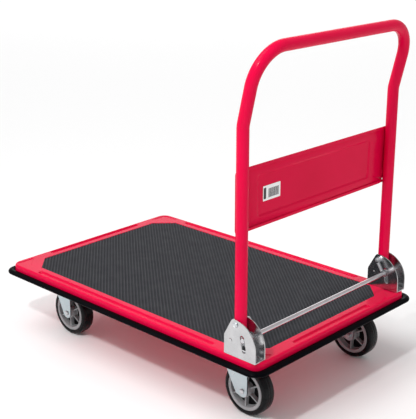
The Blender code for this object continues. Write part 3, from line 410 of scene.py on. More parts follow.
def rod(radius, length, axis="Z", sides=48, chamfer=0.0, centre=(0, 0, 0)):
    """Cylinder or hexagonal bar along an axis, its ends chamfered."""
    bm = bmesh.new()
    bmesh.ops.create_cone(bm, cap_ends=True, segments=sides, radius1=radius, radius2=radius,
                          depth=length)
    if chamfer:
        ends = [e for e in bm.edges if abs(e.verts[0].co.z - e.verts[1].co.z) < 1e-7]
        bmesh.ops.bevel(bm, geom=ends, offset=chamfer, segments=3, profile=0.5, affect="EDGES")
    if axis == "Y":
        bmesh.ops.rotate(bm, verts=bm.verts[:], cent=(0, 0, 0),
                         matrix=Matrix.Rotation(math.pi / 2, 3, "X"))
    bmesh.ops.translate(bm, verts=bm.verts[:], vec=centre)
    return bm


def lathe(profile, axis="Z", steps=64, closed=True):
    """Turn a (radius, height) outline about Z or Y."""
    bm = bmesh.new()
    rings = []
    for i in range(steps):
        angle = 2 * math.pi * i / steps
        rings.append([bm.verts.new((r * math.cos(angle), r * math.sin(angle), h))
                      for r, h in profile])
    count = len(profile)
    for i in range(steps):
        here, there = rings[i], rings[(i + 1) % steps]
        for j in range(count if closed else count - 1):
            k = (j + 1) % count
            bm.faces.new((here[j], there[j], there[k], here[k]))
    bmesh.ops.remove_doubles(bm, verts=bm.verts[:], dist=1e-6)
    if axis == "Y":
        bmesh.ops.rotate(bm, verts=bm.verts[:], cent=(0, 0, 0),
                         matrix=Matrix.Rotation(math.pi / 2, 3, "X"))
    return bm


def sweep(path, radius, sides, wall=0.0):
    """Round wire or tube along a path; wall leaves it hollow with open ends."""
    bm = bmesh.new()
    points = [Vector(p) for p in path]
    ahead = (points[1] - points[0]).normalized()
    across = ahead.orthogonal().normalized()
    skins = []
    for size in ([radius, radius - wall] if wall else [radius]):
        rings, side = [], across.copy()
        for i, point in enumerate(points):
            before = points[max(i - 1, 0)]
            after = points[min(i + 1, len(points) - 1)]
            way = (after - before).normalized()
            side = (side - way * side.dot(way)).normalized()
            up = way.cross(side)
            rings.append([bm.verts.new(point + (side * math.cos(2 * math.pi * k / sides)
                                                + up * math.sin(2 * math.pi * k / sides)) * size)
                          for k in range(sides)])
        for here, there in zip(rings, rings[1:]):
            for k in range(sides):
                m = (k + 1) % sides
                bm.faces.new((here[k], here[m], there[m], there[k]))
        skins.append(rings)
    if wall:
        for end in (0, -1):
            outer, inner = skins[0][end], skins[1][end]
            for k in range(sides):
                m = (k + 1) % sides
                bm.faces.new((outer[k], outer[m], inner[m], inner[k]))
    else:
        bm.faces.new(skins[0][0][::-1])
        bm.faces.new(skins[0][-1])
    return bm


def carve(obj, name, bm, operation="DIFFERENCE", place=(0, 0, 0)):
    """Cut a piece with a new tool, or join or intersect them."""
    mod = obj.modifiers.new(operation.title(), "BOOLEAN")
    mod.operation = operation
    mod.solver = "EXACT"
    mod.object = add_piece(name, bm, None, place)


def crease(obj, angle):
    """Keep edges sharp where the faces turn by more than an angle."""
    obj.data.set_sharp_from_angle(angle=math.radians(angle))


def soften(obj, width, segments=2, angle=32.0):
    """Small radii on every real corner, with flat faces kept flat."""
    bevel = obj.modifiers.new("Radii", "BEVEL")
    bevel.width = width
    bevel.segments = segments
    bevel.limit_method = "ANGLE"
    bevel.angle_limit = math.radians(angle)
    bevel.harden_normals = False
    weighted = obj.modifiers.new("Flat faces", "WEIGHTED_NORMAL")
    weighted.keep_sharp = True
    weighted.weight = 100


def settle(obj):
    """Turn a piece's modifiers into mesh, so that the tools can go."""
    graph = bpy.context.evaluated_depsgraph_get()
    mesh = bpy.data.meshes.new_from_object(obj.evaluated_get(graph), depsgraph=graph)
    obj.modifiers.clear()
    obj.data = mesh


def place_on(obj, body, *nodes):
    """Settle a piece, let it ride on a body and stand in for its CAD nodes."""
    if obj.modifiers:
        settle(obj)
    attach(obj, body)
    if nodes:
        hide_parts(*nodes)


# -------------------- deck pan
def corner_patch(sx, sy, grow, steps=4):
    """Three-cornered pressing in a corner of the deck, its points rounded."""
    x = DECK_X - PATCH_SETBACK + grow
    y = DECK_Y - PATCH_SETBACK + grow
    leg = PATCH_LEG + grow * (2 + math.sqrt(2))
    corners = [Vector((x, y)), Vector((x - leg, y)), Vector((x, y - leg))]
    points = []
    for i, corner in enumerate(corners):
        before = (corners[i - 1] - corner).normalized()
        after = (corners[(i + 1) % 3] - corner).normalized()
        reach = (0.004 + grow) / math.tan(before.angle(after) / 2)
        start, end = corner + before * reach, corner + after * reach
        for j in range(steps + 1):
            t = j / steps
            point = start.lerp(corner, t).lerp(corner.lerp(end, t), t)
            points.append((point.x * sx, point.y * sy))
    return points if sx * sy > 0 else points[::-1]


def tapered(outline, top, bottom, lean):
    """Cutting tool with sides that lean in by lean towards the bottom."""
    bm = prism(outline, bottom, top)
    xs = [v.co.x for v in bm.verts]
    ys = [v.co.y for v in bm.verts]
    cx, cy = (min(xs) + max(xs)) / 2, (min(ys) + max(ys)) / 2
    sx = 1 - 2 * lean / (max(xs) - min(xs))
    sy = 1 - 2 * lean / (max(ys) - min(ys))
    for vert in bm.verts:
        if vert.co.z < (top + bottom) / 2:
            vert.co.x = cx + (vert.co.x - cx) * sx
            vert.co.y = cy + (vert.co.y - cy) * sy
    return bm


def deck_blank(inset, floor):
    """The deck as a block with a rolled top edge, drawn in by inset."""
    length, width = 2 * (DECK_X - inset), 2 * (DECK_Y - inset)
    bm = prism(rounded_rect(length, width, DECK_CORNER - inset, steps=12), floor, DECK_TOP - inset)
    top = [e for e in bm.edges if min(v.co.z for v in e.verts) > DECK_TOP - inset - 1e-6]
    bmesh.ops.bevel(bm, geom=top, offset=DECK_EDGE - inset, segments=6, profile=0.5,
                    affect="EDGES", clamp_overlap=True)
    return bm


def pressings():
    """Outline, depth and lean of each pressing in the deck's top."""
    mat_x, mat_y = mat_high.x, mat_high.y
    out = [("mat", octagon(mat_x + GAP, mat_y + GAP, MAT_CHAMFER), MAT_RECESS, 0.0006)]
    start = -DECK_X + GROOVE_END_FRONT
    end = DECK_X - GROOVE_END_REAR
    radius = GROOVE_WIDTH / 2.2
    for tag, sign in SIDES:
        y = sign * (DECK_Y - RIM - GROOVE_WIDTH / 2)
        out.append(("groove_" + tag, rounded_rect(end - start, GROOVE_WIDTH, radius,
                                                  (start + end) / 2, y), GROOVE_DEPTH, GROOVE_SLOPE))
    for tag, sign, setback in (("front", -1, FRONT_GROOVE_END), ("rear", 1, REAR_GROOVE_END)):
        x = sign * (DECK_X - RIM - GROOVE_WIDTH / 2)
        cross = 2 * (DECK_Y - setback)
        out.append(("groove_" + tag, rounded_rect(GROOVE_WIDTH, cross, radius, x, 0.0),
                    GROOVE_DEPTH, GROOVE_SLOPE))
    for sx in (-1, 1):
        for sy in (-1, 1):
            out.append((f"patch_{sx}_{sy}", corner_patch(sx, sy, 0.0), PATCH_DEPTH, 0.0012))
    return out


def make_deck():
    """Pressed deck pan: every pressing cut in its top, then hollowed from below."""
    deck = add_piece("deck_pressing", deck_blank(0.0, deck_low.z), RED)
    above = 0.002
    for tag, outline, depth, lean in pressings():
        slope = lean * (depth + above) / depth
        carve(deck, tag + "_tool", tapered(outline, DECK_TOP + above, DECK_TOP - depth, slope))
    hollow = deck_blank(SHEET, deck_low.z - 0.01)
    for vert in hollow.verts:
        if vert.co.z > DECK_TOP - 0.02:
            vert.co.z -= GROOVE_DEPTH
    carve(deck, "deck_hollow", hollow)
    soften(deck, 0.0007, 3, 25.0)
    place_on(deck, "cart", "deck_pan")


# -------------------- mat
def make_mat():
    """Vinyl mat with slanting ribs, cut to its eight-sided outline; its groove faces take a darker
    vinyl as painted shade.
    """
    half_x, half_y = mat_high.x, mat_high.y
    reach = (half_x + half_y) / math.sqrt(2) + 0.01
    ribs = int(2 * reach / RIB_PITCH)
    crown = mat_high.z
    profile = [(0.0, 0.0), (0.32, 0.0), (0.42, 0.75), (0.52, 1.0), (0.80, 1.0), (0.90, 0.75)]
    # Faces low in the grooves between ribs, which get the darker painted-shade vinyl.
    shaded_groove_faces = (0, 1, 5)
    bm = bmesh.new()
    rows = []
    along = Vector((math.cos(RIB_ANGLE), math.sin(RIB_ANGLE), 0))
    across = Vector((along.y, -along.x, 0))
    for i in range(ribs):
        for share, rise in profile:
            offset = -reach + (i + share) * RIB_PITCH
            height = crown - RIB_HEIGHT * (1 - rise)
            middle = across * offset + Vector((0, 0, height))
            rows.append((bm.verts.new(middle - along * reach), bm.verts.new(middle + along * reach)))
    for i, ((a, b), (c, d)) in enumerate(zip(rows, rows[1:])):
        face = bm.faces.new((a, c, d, b))
        face.material_index = 1 if i % len(profile) in shaded_groove_faces else 0
    corners = octagon(half_x, half_y, MAT_CHAMFER)
    for (ax, ay), (bx, by) in zip(corners, corners[1:] + corners[:1]):
        outward = Vector((by - ay, ax - bx, 0)).normalized()
        geometry = bm.verts[:] + bm.edges[:] + bm.faces[:]
        bmesh.ops.bisect_plane(bm, geom=geometry, plane_co=(ax, ay, 0), plane_no=outward,
                               clear_outer=True, dist=1e-6)
    border = [e for e in bm.edges if e.is_boundary]
    skirt = bmesh.ops.extrude_edge_only(bm, edges=border)["geom"]
    for item in skirt:
        if isinstance(item, bmesh.types.BMVert):
            item.co.z = mat_low.z
    mat = add_piece("ribbed_mat", bm, MAT_VINYL, smooth=False)
    mat.data.materials.append(MAT_GROOVE_PAINTED_SHADE)
    place_on(mat, "cart", "deck_mat")


# -------------------- bumper
def make_bumper():
    """Extruded rubber strip with a flat top, a ridge along it and a rounded nose."""
    low, high = bumper_low.z, bumper_high.z
    tall = high - low
    wide = bumper_high.x - DECK_X - GAP
    nose = tall * 0.42
    section = [(0.0, 0.0), (wide * 0.72, 0.0)]
    section += arc(wide - nose, nose, nose, -60, 62, 8)
    section += [(wide * 0.58, tall * 0.93), (wide * 0.50, tall * 1.0), (wide * 0.30, tall),
                (wide * 0.24, tall * 0.94), (0.0, tall * 0.94)]
    plan = rounded_rect(2 * (DECK_X + GAP), 2 * (DECK_Y + GAP), 0.0195, steps=14)
    bm = bmesh.new()
    rings = []
    count = len(plan)
    for i in range(count):
        before, here, after = Vector(plan[i - 1]), Vector(plan[i]), Vector(plan[(i + 1) % count])
        first = (here - before).normalized()
        second = (after - here).normalized()
        way = (first + second).normalized()
        outward = Vector((way.y, -way.x))
        stretch = 1 / max(math.cos(first.angle(second) / 2), 0.5)
        rings.append([bm.verts.new((here.x + outward.x * u * stretch,
                                    here.y + outward.y * u * stretch, low + v))
                      for u, v in section])
    for i in range(count):
        here, there = rings[i], rings[(i + 1) % count]
        for j in range(len(section)):
            k = (j + 1) % len(section)
            bm.faces.new((here[j], there[j], there[k], here[k]))
    strip = add_piece("bumper_profile", bm, BUMPER)
    seam = rounded_rect(0.06, 0.0007, 0.0001, DECK_X + 0.02, 0.0, 1)
    carve(strip, "bumper_joint_tool", prism(seam, low - 0.01, high + 0.01))
    soften(strip, 0.0003, 1, 40.0)
    place_on(strip, "cart", "bumper_strip")


make_deck()
make_mat()
make_bumper()


# -------------------- cross channels
def make_channel(node):
    """Top-hat channel with bent corners."""
    low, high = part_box(node)
    middle = (low.x + high.x) / 2
    outer = (high.x - low.x) / 2
    half = outer - CHANNEL_FLANGE
    inner = half - CHANNEL_STEEL
    top, bottom = high.z, low.z
    lip, floor = top - CHANNEL_STEEL, bottom + CHANNEL_STEEL
    outline = [(-outer, top), (-outer, lip), (-half, lip), (-half, bottom),
               (half, bottom), (half, lip), (outer, lip), (outer, top),
               (inner, top), (inner, floor), (-inner, floor), (-inner, top)]
    outline = [(middle + a, b) for a, b in outline]
    channel = add_piece(node + "_pressing", prism(outline, low.y, high.y, "XZ"), RED)
    soften(channel, 0.0011, 3)
    place_on(channel, "cart", node)


for channel_node in ("channel_front", "channel_middle", "channel_rear"):
    make_channel(channel_node)


# -------------------- handle tube and panel
def upright_point(distance):
    """Point (x, z) on an upright's centreline, at a distance along it above the deck."""
    if distance <= LEAN_START:
        return PIVOT.x, DECK_TOP + distance
    angle = min((distance - LEAN_START) / LEAN_RADIUS, LEAN_ANGLE)
    x = PIVOT.x + LEAN_RADIUS * (1 - math.cos(angle))
    z = DECK_TOP + LEAN_START + LEAN_RADIUS * math.sin(angle)
    rest = max(distance - LEAN_START - LEAN_RADIUS * LEAN_ANGLE, 0.0)
    return x + rest * math.sin(LEAN_ANGLE), z + rest * math.cos(LEAN_ANGLE)


def make_tube():
    """Handle bent from one tube; returns how far its uprights stand from the middle."""
    half_span = tube_high.y - TUBE_RADIUS
    bend = LEAN_RADIUS * LEAN_ANGLE
    rise = tube_high.z - TUBE_RADIUS - DECK_TOP
    length = LEAN_START + bend + ((rise - LEAN_START - LEAN_RADIUS * math.sin(LEAN_ANGLE))
                                  / math.cos(LEAN_ANGLE))
    stations = [tube_low.z - DECK_TOP, LEAN_START]
    stations += [LEAN_START + bend * k / 8 for k in range(1, 9)]
    half = [(upright_point(s)[0], -half_span, upright_point(s)[1]) for s in stations]
    for k in range(19):
        turn = math.pi / 2 * k / 18
        x, z = upright_point(length - GRIP_RADIUS * (1 - math.sin(turn)))
        half.append((x, -half_span + GRIP_RADIUS * (1 - math.cos(turn)), z))
    path = half + [(x, -y, z) for x, y, z in reversed(half)]
    tube = add_piece("handle_bent_tube", sweep(path, TUBE_RADIUS, 40, wall=TUBE_WALL), RED)
    for tag, sign in SIDES:
        bore = rod(BOLT_RADIUS + GAP, 0.05, "Y", centre=(PIVOT.x, sign * half_span, PIVOT.z))
        carve(tube, "tube_bore_" + tag, bore)
    settle(tube)
    crease(tube, 50)
    place_on(tube, "handle", "handle_tube")
    return half_span


def make_panel(half_span):
    """Sheet between the uprights: rolled hems along its long edges, a pressed field inside."""
    front = panel_low.x + FIELD_DEPTH
    back = front + PANEL_STEEL
    span, tall = panel_high.y - panel_low.y, panel_high.z - panel_low.z
    middle = (panel_low.z + panel_high.z) / 2
    sheet = prism(rounded_rect(span, tall, PANEL_CORNER, 0.0, middle), front, back, "YZ")
    panel = add_piece("handle_panel_pressing", sheet, RED)
    field_w, field_h = span - 2 * FIELD_SIDE, tall - 2 * FIELD_END
    overlap = 0.0002

    def field(grow, near, far):
        """Block the size of the field plus grow all round, narrower at its near face."""
        corner = FIELD_CORNER + grow
        outline = rounded_rect(field_w + 2 * grow, field_h + 2 * grow, corner, 0.0, middle)
        bm = prism(outline, near, far, "YZ")
        for vert in bm.verts:
            if vert.co.x < (near + far) / 2:
                vert.co.y *= (field_w - 2 * FIELD_SLOPE) / field_w
                vert.co.z = middle + (vert.co.z - middle) * (field_h - 2 * FIELD_SLOPE) / field_h
        return bm

    boss = field(0.0, front - FIELD_DEPTH, front + overlap)
    carve(panel, "panel_boss", boss, "UNION")
    recess = field(-FIELD_TRIM, back - FIELD_DEPTH, back + overlap)
    carve(panel, "panel_field_tool", recess)
    soften(panel, 0.0007, 3, 15.0)
    for tag, sign in SIDES:
        drain = rod(DRAIN_RADIUS, 0.02, "Z", 24)
        bmesh.ops.rotate(drain, verts=drain.verts[:], cent=(0, 0, 0),
                         matrix=Matrix.Rotation(math.pi / 2, 3, "Y"))
        place = (back, sign * (half_span - DRAIN_INSET), panel_low.z + DRAIN_RISE)
        carve(panel, "panel_drain_" + tag, drain, place=place)
    place_on(panel, "handle", "handle_panel")
    hem_span = half_span - TUBE_RADIUS - HEM_SIDE_GAP
    for tag, sign in (("top", 1), ("bottom", -1)):
        z = middle + sign * (tall / 2 - PANEL_LIP / 2 - HEM_SETBACK)
        section = rounded_rect(HEM_THICK, PANEL_LIP, HEM_CORNER, back + HEM_THICK / 2, z, 5)
        hem = add_piece("panel_hem_" + tag, prism(section, -hem_span, hem_span, "XZ"), RED)
        soften(hem, 0.0004, 2)
        place_on(hem, "handle")
    for tag, sign in SIDES:
        for level, z in (("upper", middle + tall * 0.30), ("lower", middle - tall * 0.30)):
            bead = weld_bead(f"panel_weld_{tag}_{level}", WELD_LENGTH)
            bead.location = (back - 0.0001, sign * (half_span - WELD_INSET), z)
            place_on(bead, "handle")


def weld_bead(name, length):
    """Short fillet weld under the paint, its ripples along Z."""
    bm = bmesh.new()
    rings = []
    steps, sides = 26, 10
    for i in range(steps + 1):
        t = i / steps
        swell = min(1.0, 6 * t, 6 * (1 - t)) * (0.86 + 0.14 * math.sin(i * 1.5))
        radius = WELD_RADIUS * max(swell, 0.05)
        z = (t - 0.5) * length
        rings.append([bm.verts.new((radius * math.cos(2 * math.pi * k / sides),
                                    radius * math.sin(2 * math.pi * k / sides), z))
                      for k in range(sides)])
    for here, there in zip(rings, rings[1:]):
        for k in range(sides):
            m = (k + 1) % sides
            bm.faces.new((here[k], here[m], there[m], there[k]))
    bm.faces.new(rings[0][::-1])
    bm.faces.new(rings[-1])
    return add_piece(name, bm, RED)


def make_label():
    """Film label: white stock with a dark block and a plain barcode, none of it lettering."""
    low, high = label_low, label_high
    wide, tall = high.y - low.y, high.z - low.z
    middle = (low + high) / 2
    outline = rounded_rect(wide, tall, 0.0016, middle.y, middle.z, 5)
    stock = add_piece("label_stock", prism(outline, low.x, high.x - 0.00004, "YZ"), PAPER)
    soften(stock, 0.00008, 1)
    place_on(stock, "handle", "label")
    ink_low, ink_high = high.x - 0.00006, high.x
    marks = [(low.y + wide * 0.105, wide * 0.14, middle.z, tall * 0.74)]
    widths = (1, 2, 1, 1, 3, 1, 2, 2, 1, 1, 2, 3, 1, 1, 2, 1, 3, 1, 1, 2)
    space = 0.75
    unit = wide * 0.60 / (sum(widths) + len(widths) * space)
    y = low.y + wide * 0.31
    for count in widths:
        marks.append((y + count * unit / 2, count * unit, middle.z - tall * 0.04, tall * 0.60))
        y += (count + space) * unit
    bm = bmesh.new()
    for y, width, z, height in marks:
        part = prism(rounded_rect(width, height, min(width, height) * 0.12, y, z, 1),
                     ink_low, ink_high, "YZ")
        mesh = bpy.data.meshes.new("mark")
        part.to_mesh(mesh)
        part.free()
        bm.from_mesh(mesh)
        bpy.data.meshes.remove(mesh)
    ink = add_piece("label_printing", bm, INK, smooth=False)
    place_on(ink, "handle")


upright_y = make_tube()
make_panel(upright_y)
make_label()


# -------------------- hinge brackets
def make_bracket(tag):
    """U-shaped hinge bracket with its slot for the lock bar and its crescent slit."""
    node = "hinge_bracket_" + tag
    low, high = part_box(node)
    length, height = high.x - low.x, high.z - low.z
    y_low, y_high = low.y, high.y
    arc_x, arc_z = length - BRACKET_ARC, height - BRACKET_ARC
    outline = [(0.0, 0.0), (length, 0.0)]
    outline += arc(arc_x, arc_z, BRACKET_ARC, 0, BRACKET_ARC_SWEEP, 28)
    outline += [(arc_x - BRACKET_CROWN_RUN, height - BRACKET_CROWN_DROP),
                (arc_x - BRACKET_NOSE_RUN, height - BRACKET_NOSE_DROP),
                (BRACKET_FRONT_LEAN, BRACKET_FRONT_TOP), (0.0, BRACKET_FRONT_BEND)]
    outline = [(low.x + a, low.z + b) for a, b in outline]
    bracket = add_piece(node + "_pressing", prism(outline, y_low, y_high, "XZ"), BRIGHT_ZINC)
    middle = (y_low + y_high) / 2
    inner = (y_high - y_low) / 2 - BRACKET_STEEL
    slot_top = LOCK_REST - LOCK_WAY * SLOT_HEADROOM
    slot_low = LOCK_REST + LOCK_WAY * (LOCK_TRAVEL + SLOT_PLAY)
    lean = math.degrees(math.atan2(LOCK_WAY.x, -LOCK_WAY.z))
    radius = (bar_high.x - bar_low.x) / 2 + SLOT_PLAY
    slot = arc(slot_low.x, slot_low.z, radius, 180 + lean, 360 + lean, 14)
    slot += arc(slot_top.x, slot_top.z, radius, lean, 180 + lean, 14)
    carve(bracket, f"slot_tool_{tag}", prism(slot, y_low - 0.01, y_high + 0.01, "XZ"))
    cx, cz = low.x + CRESCENT_X, low.z + CRESCENT_Z
    crescent = arc(cx, cz, CRESCENT_OUTER, -20, 130, 10) + arc(cx, cz, CRESCENT_INNER, 130, -20, 10)
    slit = prism(crescent, y_low - 0.01, y_high + 0.01, "XZ")
    carve(bracket, f"slit_tool_{tag}", slit)
    hole = rod(BOLT_RADIUS + GAP, 0.08, "Y", centre=(PIVOT.x, middle, PIVOT.z))
    carve(bracket, f"pivot_tool_{tag}", hole)
    floor = low.z + BRACKET_STEEL
    room = prism(rounded_rect(2 * inner, 0.2, 0.0016, middle, floor + 0.1, 5),
                 low.x - 0.02, high.x + 0.02, "YZ")
    carve(bracket, f"channel_tool_{tag}", room)
    soften(bracket, 0.0005, 2)
    place_on(bracket, "cart", node)


def domed_head(name, node, sign, radius, body="cart"):
    """Round head, its shank and a fine ring pressed in the top."""
    low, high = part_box(node)
    middle = (low + high) / 2
    outer = low.y if sign < 0 else high.y
    inner = high.y if sign < 0 else low.y
    tall = HEAD_RISE
    length = abs(outer - inner)
    shank = BOLT_RADIUS - 0.00002
    profile = [(0.0, tall), (radius * 0.50, tall), (radius * 0.55, tall - 0.00035),
               (radius * 0.63, tall - 0.00035), (radius * 0.68, tall - 0.0001)]
    profile += arc(radius * 0.68, 0.0006, radius * 0.32, 70, 8, 6)
    profile += [(radius, 0.0), (shank, 0.0), (shank, tall + 0.0006 - length),
                (shank - 0.0006, tall - length), (0.0, tall - length)]
    bm = lathe(profile, "Z", 40, closed=False)
    bmesh.ops.rotate(bm, verts=bm.verts[:], cent=(0, 0, 0),
                     matrix=Matrix.Rotation(-sign * math.pi / 2, 3, "X"))
    bolt = add_piece(name, bm, BOLT_STEEL, (middle.x, outer - sign * tall, middle.z))
    crease(bolt, 40)
    place_on(bolt, body, node)


def hex_nut(name, node, body):
    """Hexagon nut along Y, with chamfered corners and a threaded bore."""
    low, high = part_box(node)
    thick = high.y - low.y
    across = max(high.x - low.x, high.z - low.z) / 2
    bore = BOLT_RADIUS + GAP
    nut = add_piece(name, rod(across, thick, "Z", 6), BOLT_STEEL)
    cone = [(0.0, thick / 2), (across * 0.90, thick / 2), (across * 1.02, thick / 2 - 0.0008),
            (across * 1.02, 0.0008 - thick / 2), (across * 0.90, -thick / 2), (0.0, -thick / 2)]
    carve(nut, name + "_cone", lathe(cone, "Z", 48, closed=False), "INTERSECT")
    thread = [(0.0, thick)]
    turns = 6
    for i in range(turns + 1):
        z = thick / 2 - thick * i / turns
        thread += [(bore, z + thick / turns / 4), (bore - 0.0002, z - thick / turns / 4)]
    thread += [(0.0, -thick)]
    carve(nut, name + "_thread", lathe(thread, "Z", 24, closed=False))
    soften(nut, 0.00015, 1, 40.0)
    settle(nut)
    nut.rotation_euler = (math.pi / 2, 0, 0)
    nut.location = (low + high) / 2
    place_on(nut, body, node)


def hex_bolt(name, radius, tall, shank, up, node=None, place=None):
    """Hexagon bolt on the cart for a node or at a place, its head on top if up is 1, below if -1."""
    if node:
        low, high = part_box(node)
        middle = (low + high) / 2
        length = high.z - low.z
    else:
        middle, length = Vector(place), tall + PLATE_SHANK_LONG
    bolt = add_piece(name, rod(radius, tall, "Z", 6), BOLT_STEEL)
    wide = radius * 1.02
    cone = [(0.0, tall / 2), (radius * 0.88, tall / 2), (wide, tall / 2 - 0.0009),
            (wide, -tall / 2), (0.0, -tall / 2)]
    carve(bolt, name + "_cone", lathe(cone, "Z", 48, closed=False), "INTERSECT")
    root = 0.0005
    reach = length - tall + root
    stem = rod(shank, reach, "Z", 32, 0.0005, (0, 0, -tall / 2 + root - reach / 2))
    carve(bolt, name + "_stem", stem, "UNION")
    soften(bolt, 0.00015, 1, 40.0)
    settle(bolt)
    if up < 0:
        bolt.rotation_euler = (math.pi, 0, 0)
    bolt.location = middle + Vector((0, 0, up * (length / 2 - tall / 2)))
    place_on(bolt, "cart", *([node] if node else []))


for side_tag, side_sign in SIDES:
    make_bracket(side_tag)
    domed_head("pivot_rivet_" + side_tag, "pivot_bolt_" + side_tag, side_sign, PIVOT_HEAD)
    hex_nut("pivot_hex_nut_" + side_tag, "pivot_nut_" + side_tag, "cart")
    for number in (1, 2):
        hex_bolt(f"foot_hex_bolt_{side_tag}_{number}", FOOT_HEX, FOOT_HEX_TALL, BOLT_RADIUS, 1,
                 node=f"foot_bolt_{side_tag}_{number}")


# -------------------- lock bar, clips and springs
def make_lock():
    """Lock bar and the clip rings at its ends."""
    length = bar_high.y - bar_low.y
    radius = (bar_high.x - bar_low.x) / 2
    bar = add_piece("lock_bar_rod", rod(radius, length, "Y", 48, 0.0009), BAR_STEEL, LOCK_REST)
    crease(bar, 50)
    place_on(bar, "lock_bar", "lock_bar")
    for tag, sign in SIDES:
        node = "lock_clip_" + tag
        low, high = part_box(node)
        thick, outer = high.y - low.y, (high.x - low.x) / 2
        bore = radius + GAP
        ring = [(bore, thick / 2 - 0.0002), (bore + 0.0002, thick / 2), (outer - 0.0003, thick / 2),
                (outer, thick / 2 - 0.0003), (outer, 0.0003 - thick / 2),
                (outer - 0.0003, -thick / 2), (bore + 0.0002, -thick / 2),
                (bore, 0.0002 - thick / 2)]
        clip = add_piece("spring_clip_" + tag, lathe(ring, "Y", 48), DARK_STEEL,
                         (LOCK_REST.x, (low.y + high.y) / 2, LOCK_REST.z))
        crease(clip, 50)
        place_on(clip, "lock_bar", node)


def make_spring(tag):
    """Close-wound extension spring with a hook at each end."""
    node = "return_spring_" + tag
    low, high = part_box(node)
    y = (low.y + high.y) / 2
    wire = SPRING_WIRE
    coil = (high.y - low.y) / 2 - wire
    upper, lower = Vector((PIVOT.x, y, PIVOT.z)), Vector((LOCK_REST.x, y, LOCK_REST.z))
    down = (lower - upper).normalized()
    side = Vector((0, 1, 0))
    third = down.cross(side)
    eye_top = BOLT_RADIUS + GAP + wire
    eye_low = (bar_high.x - bar_low.x) / 2 + GAP + wire
    start = eye_top + SPRING_LEAD
    end = (lower - upper).length - eye_low - SPRING_LEAD
    path = []
    for k in range(25):
        angle = math.radians(200 - 200 * k / 24)
        path.append(upper + (-down * math.sin(angle) + third * math.cos(angle)) * eye_top)
    steps = 20
    for k in range(SPRING_TURNS * steps + 1):
        angle = 2 * math.pi * k / steps
        along = start + (end - start) * k / (SPRING_TURNS * steps)
        path.append(upper + down * along
                    + (third * math.cos(angle) + side * math.sin(angle)) * coil)
    for k in range(25):
        angle = math.radians(20 - 200 * k / 24)
        path.append(lower + (-down * math.sin(angle) + third * math.cos(angle)) * eye_low)
    spring = add_piece("extension_spring_" + tag, sweep(path, wire, 10), BOLT_STEEL)
    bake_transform(spring)
    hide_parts(node)


make_lock()
for side_tag, side_sign in SIDES:
    make_spring(side_tag)


# -------------------- castors
WHEELS = [(end, tag, sign) for end in ("front", "rear") for tag, sign in SIDES]


def make_wheel(end, tag, sign):
    """Tyre, spoked rim, axle sleeve, bolt and nut of one castor."""
    name = f"{end}_{tag}"
    wheel_body = f"{end}_wheel_{tag}"
    fork_body = "cart" if end == "front" else "swivel_fork_" + tag
    low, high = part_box("tyre_" + name)
    centre = (low + high) / 2
    radius, half = (high.z - low.z) / 2, (high.y - low.y) / 2
    rim_low, rim_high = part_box("rim_" + name)
    rim = (rim_high.z - rim_low.z) / 2
    seat = rim + GAP
    crown = radius - 0.0002
    tread = [(seat, half - 0.0010), (seat + 0.0012, half), (seat + 0.0030, half)]
    shoulder = 0.0072
    tread += arc(crown - shoulder, half - shoulder, shoulder, 78, 14, 8)
    tread += [(crown, half * 0.34), (radius, half * 0.30), (radius, 0.0008), (radius - 0.0003, 0.0)]
    tread += [(r, -h) for r, h in reversed(tread[:-1])]
    tyre = add_piece("tread_" + name, lathe(tread, "Y", 96), TYRE, centre)
    crease(tyre, 35)
    place_on(tyre, wheel_body, "tyre_" + name)

    hub_half = abs(rim_low.y - centre.y)
    rim_half = half - 0.001
    ring, web, hub, bore = rim - RIM_RING, WEB_HALF, HUB_RADIUS, HUB_BORE
    side = [(bore, hub_half - 0.0008), (bore + 0.0008, hub_half), (hub - 0.0010, hub_half),
            (hub, hub_half - 0.0012), (hub, web + 0.0016), (hub + 0.0016, web),
            (ring - 0.0016, web), (ring, web + 0.0016), (ring + 0.0006, rim_half - 0.0014),
            (ring + 0.0012, rim_half), (rim - 0.0010, rim_half), (rim, rim_half - 0.0010)]
    side += [(r, -h) for r, h in reversed(side)]
    disc = add_piece("spoked_rim_" + name, lathe(side, "Y", 72), RIM_GREY, centre)
    for i in range(SPOKES):
        angle = 2 * math.pi * (i + 0.5) / SPOKES
        reach = ring - hub + 0.004
        blade = prism(rounded_rect(reach, SPOKE_THICK, 0.0006, (hub + ring) / 2, 0.0, 2),
                      -rim_half * SPOKE_DEPTH_SHARE, rim_half * SPOKE_DEPTH_SHARE)
        bmesh.ops.rotate(blade, verts=blade.verts[:], cent=(0, 0, 0),
                         matrix=Matrix.Rotation(math.pi / 2, 3, "X"))
        bmesh.ops.rotate(blade, verts=blade.verts[:], cent=(0, 0, 0),
                         matrix=Matrix.Rotation(-angle, 3, "Y"))
        carve(disc, f"spoke_{name}_{i}", blade, "UNION", centre)
    soften(disc, 0.0006, 2, 40.0)
    settle(disc)
    # The web's flat faces between the spokes take the near-black material as painted shade.
    disc.data.materials.append(RIM_SHADE)
    for face in disc.data.polygons:
        if abs(face.normal.y) > 0.9 and abs(face.center.y) < web + 0.001:
            face.material_index = 1
    place_on(disc, wheel_body, "rim_" + name)

    sleeve_low, sleeve_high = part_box("axle_bush_" + name)
    outer, length = (sleeve_high.z - sleeve_low.z) / 2, (sleeve_high.y - sleeve_low.y) / 2
    inner = BOLT_RADIUS + GAP
    profile = [(inner, length - 0.0004), (inner + 0.0004, length), (outer - 0.0006, length),
               (outer, length - 0.0006)]
    profile += [(r, -h) for r, h in reversed(profile)]
    sleeve = add_piece("sleeve_" + name, lathe(profile, "Y", 40), NYLON, centre)
    crease(sleeve, 50)
    place_on(sleeve, fork_body, "axle_bush_" + name)

    domed_head("axle_rivet_" + name, "axle_bolt_" + name, sign, AXLE_HEAD, fork_body)
    hex_nut("axle_hex_nut_" + name, "axle_nut_" + name, fork_body)


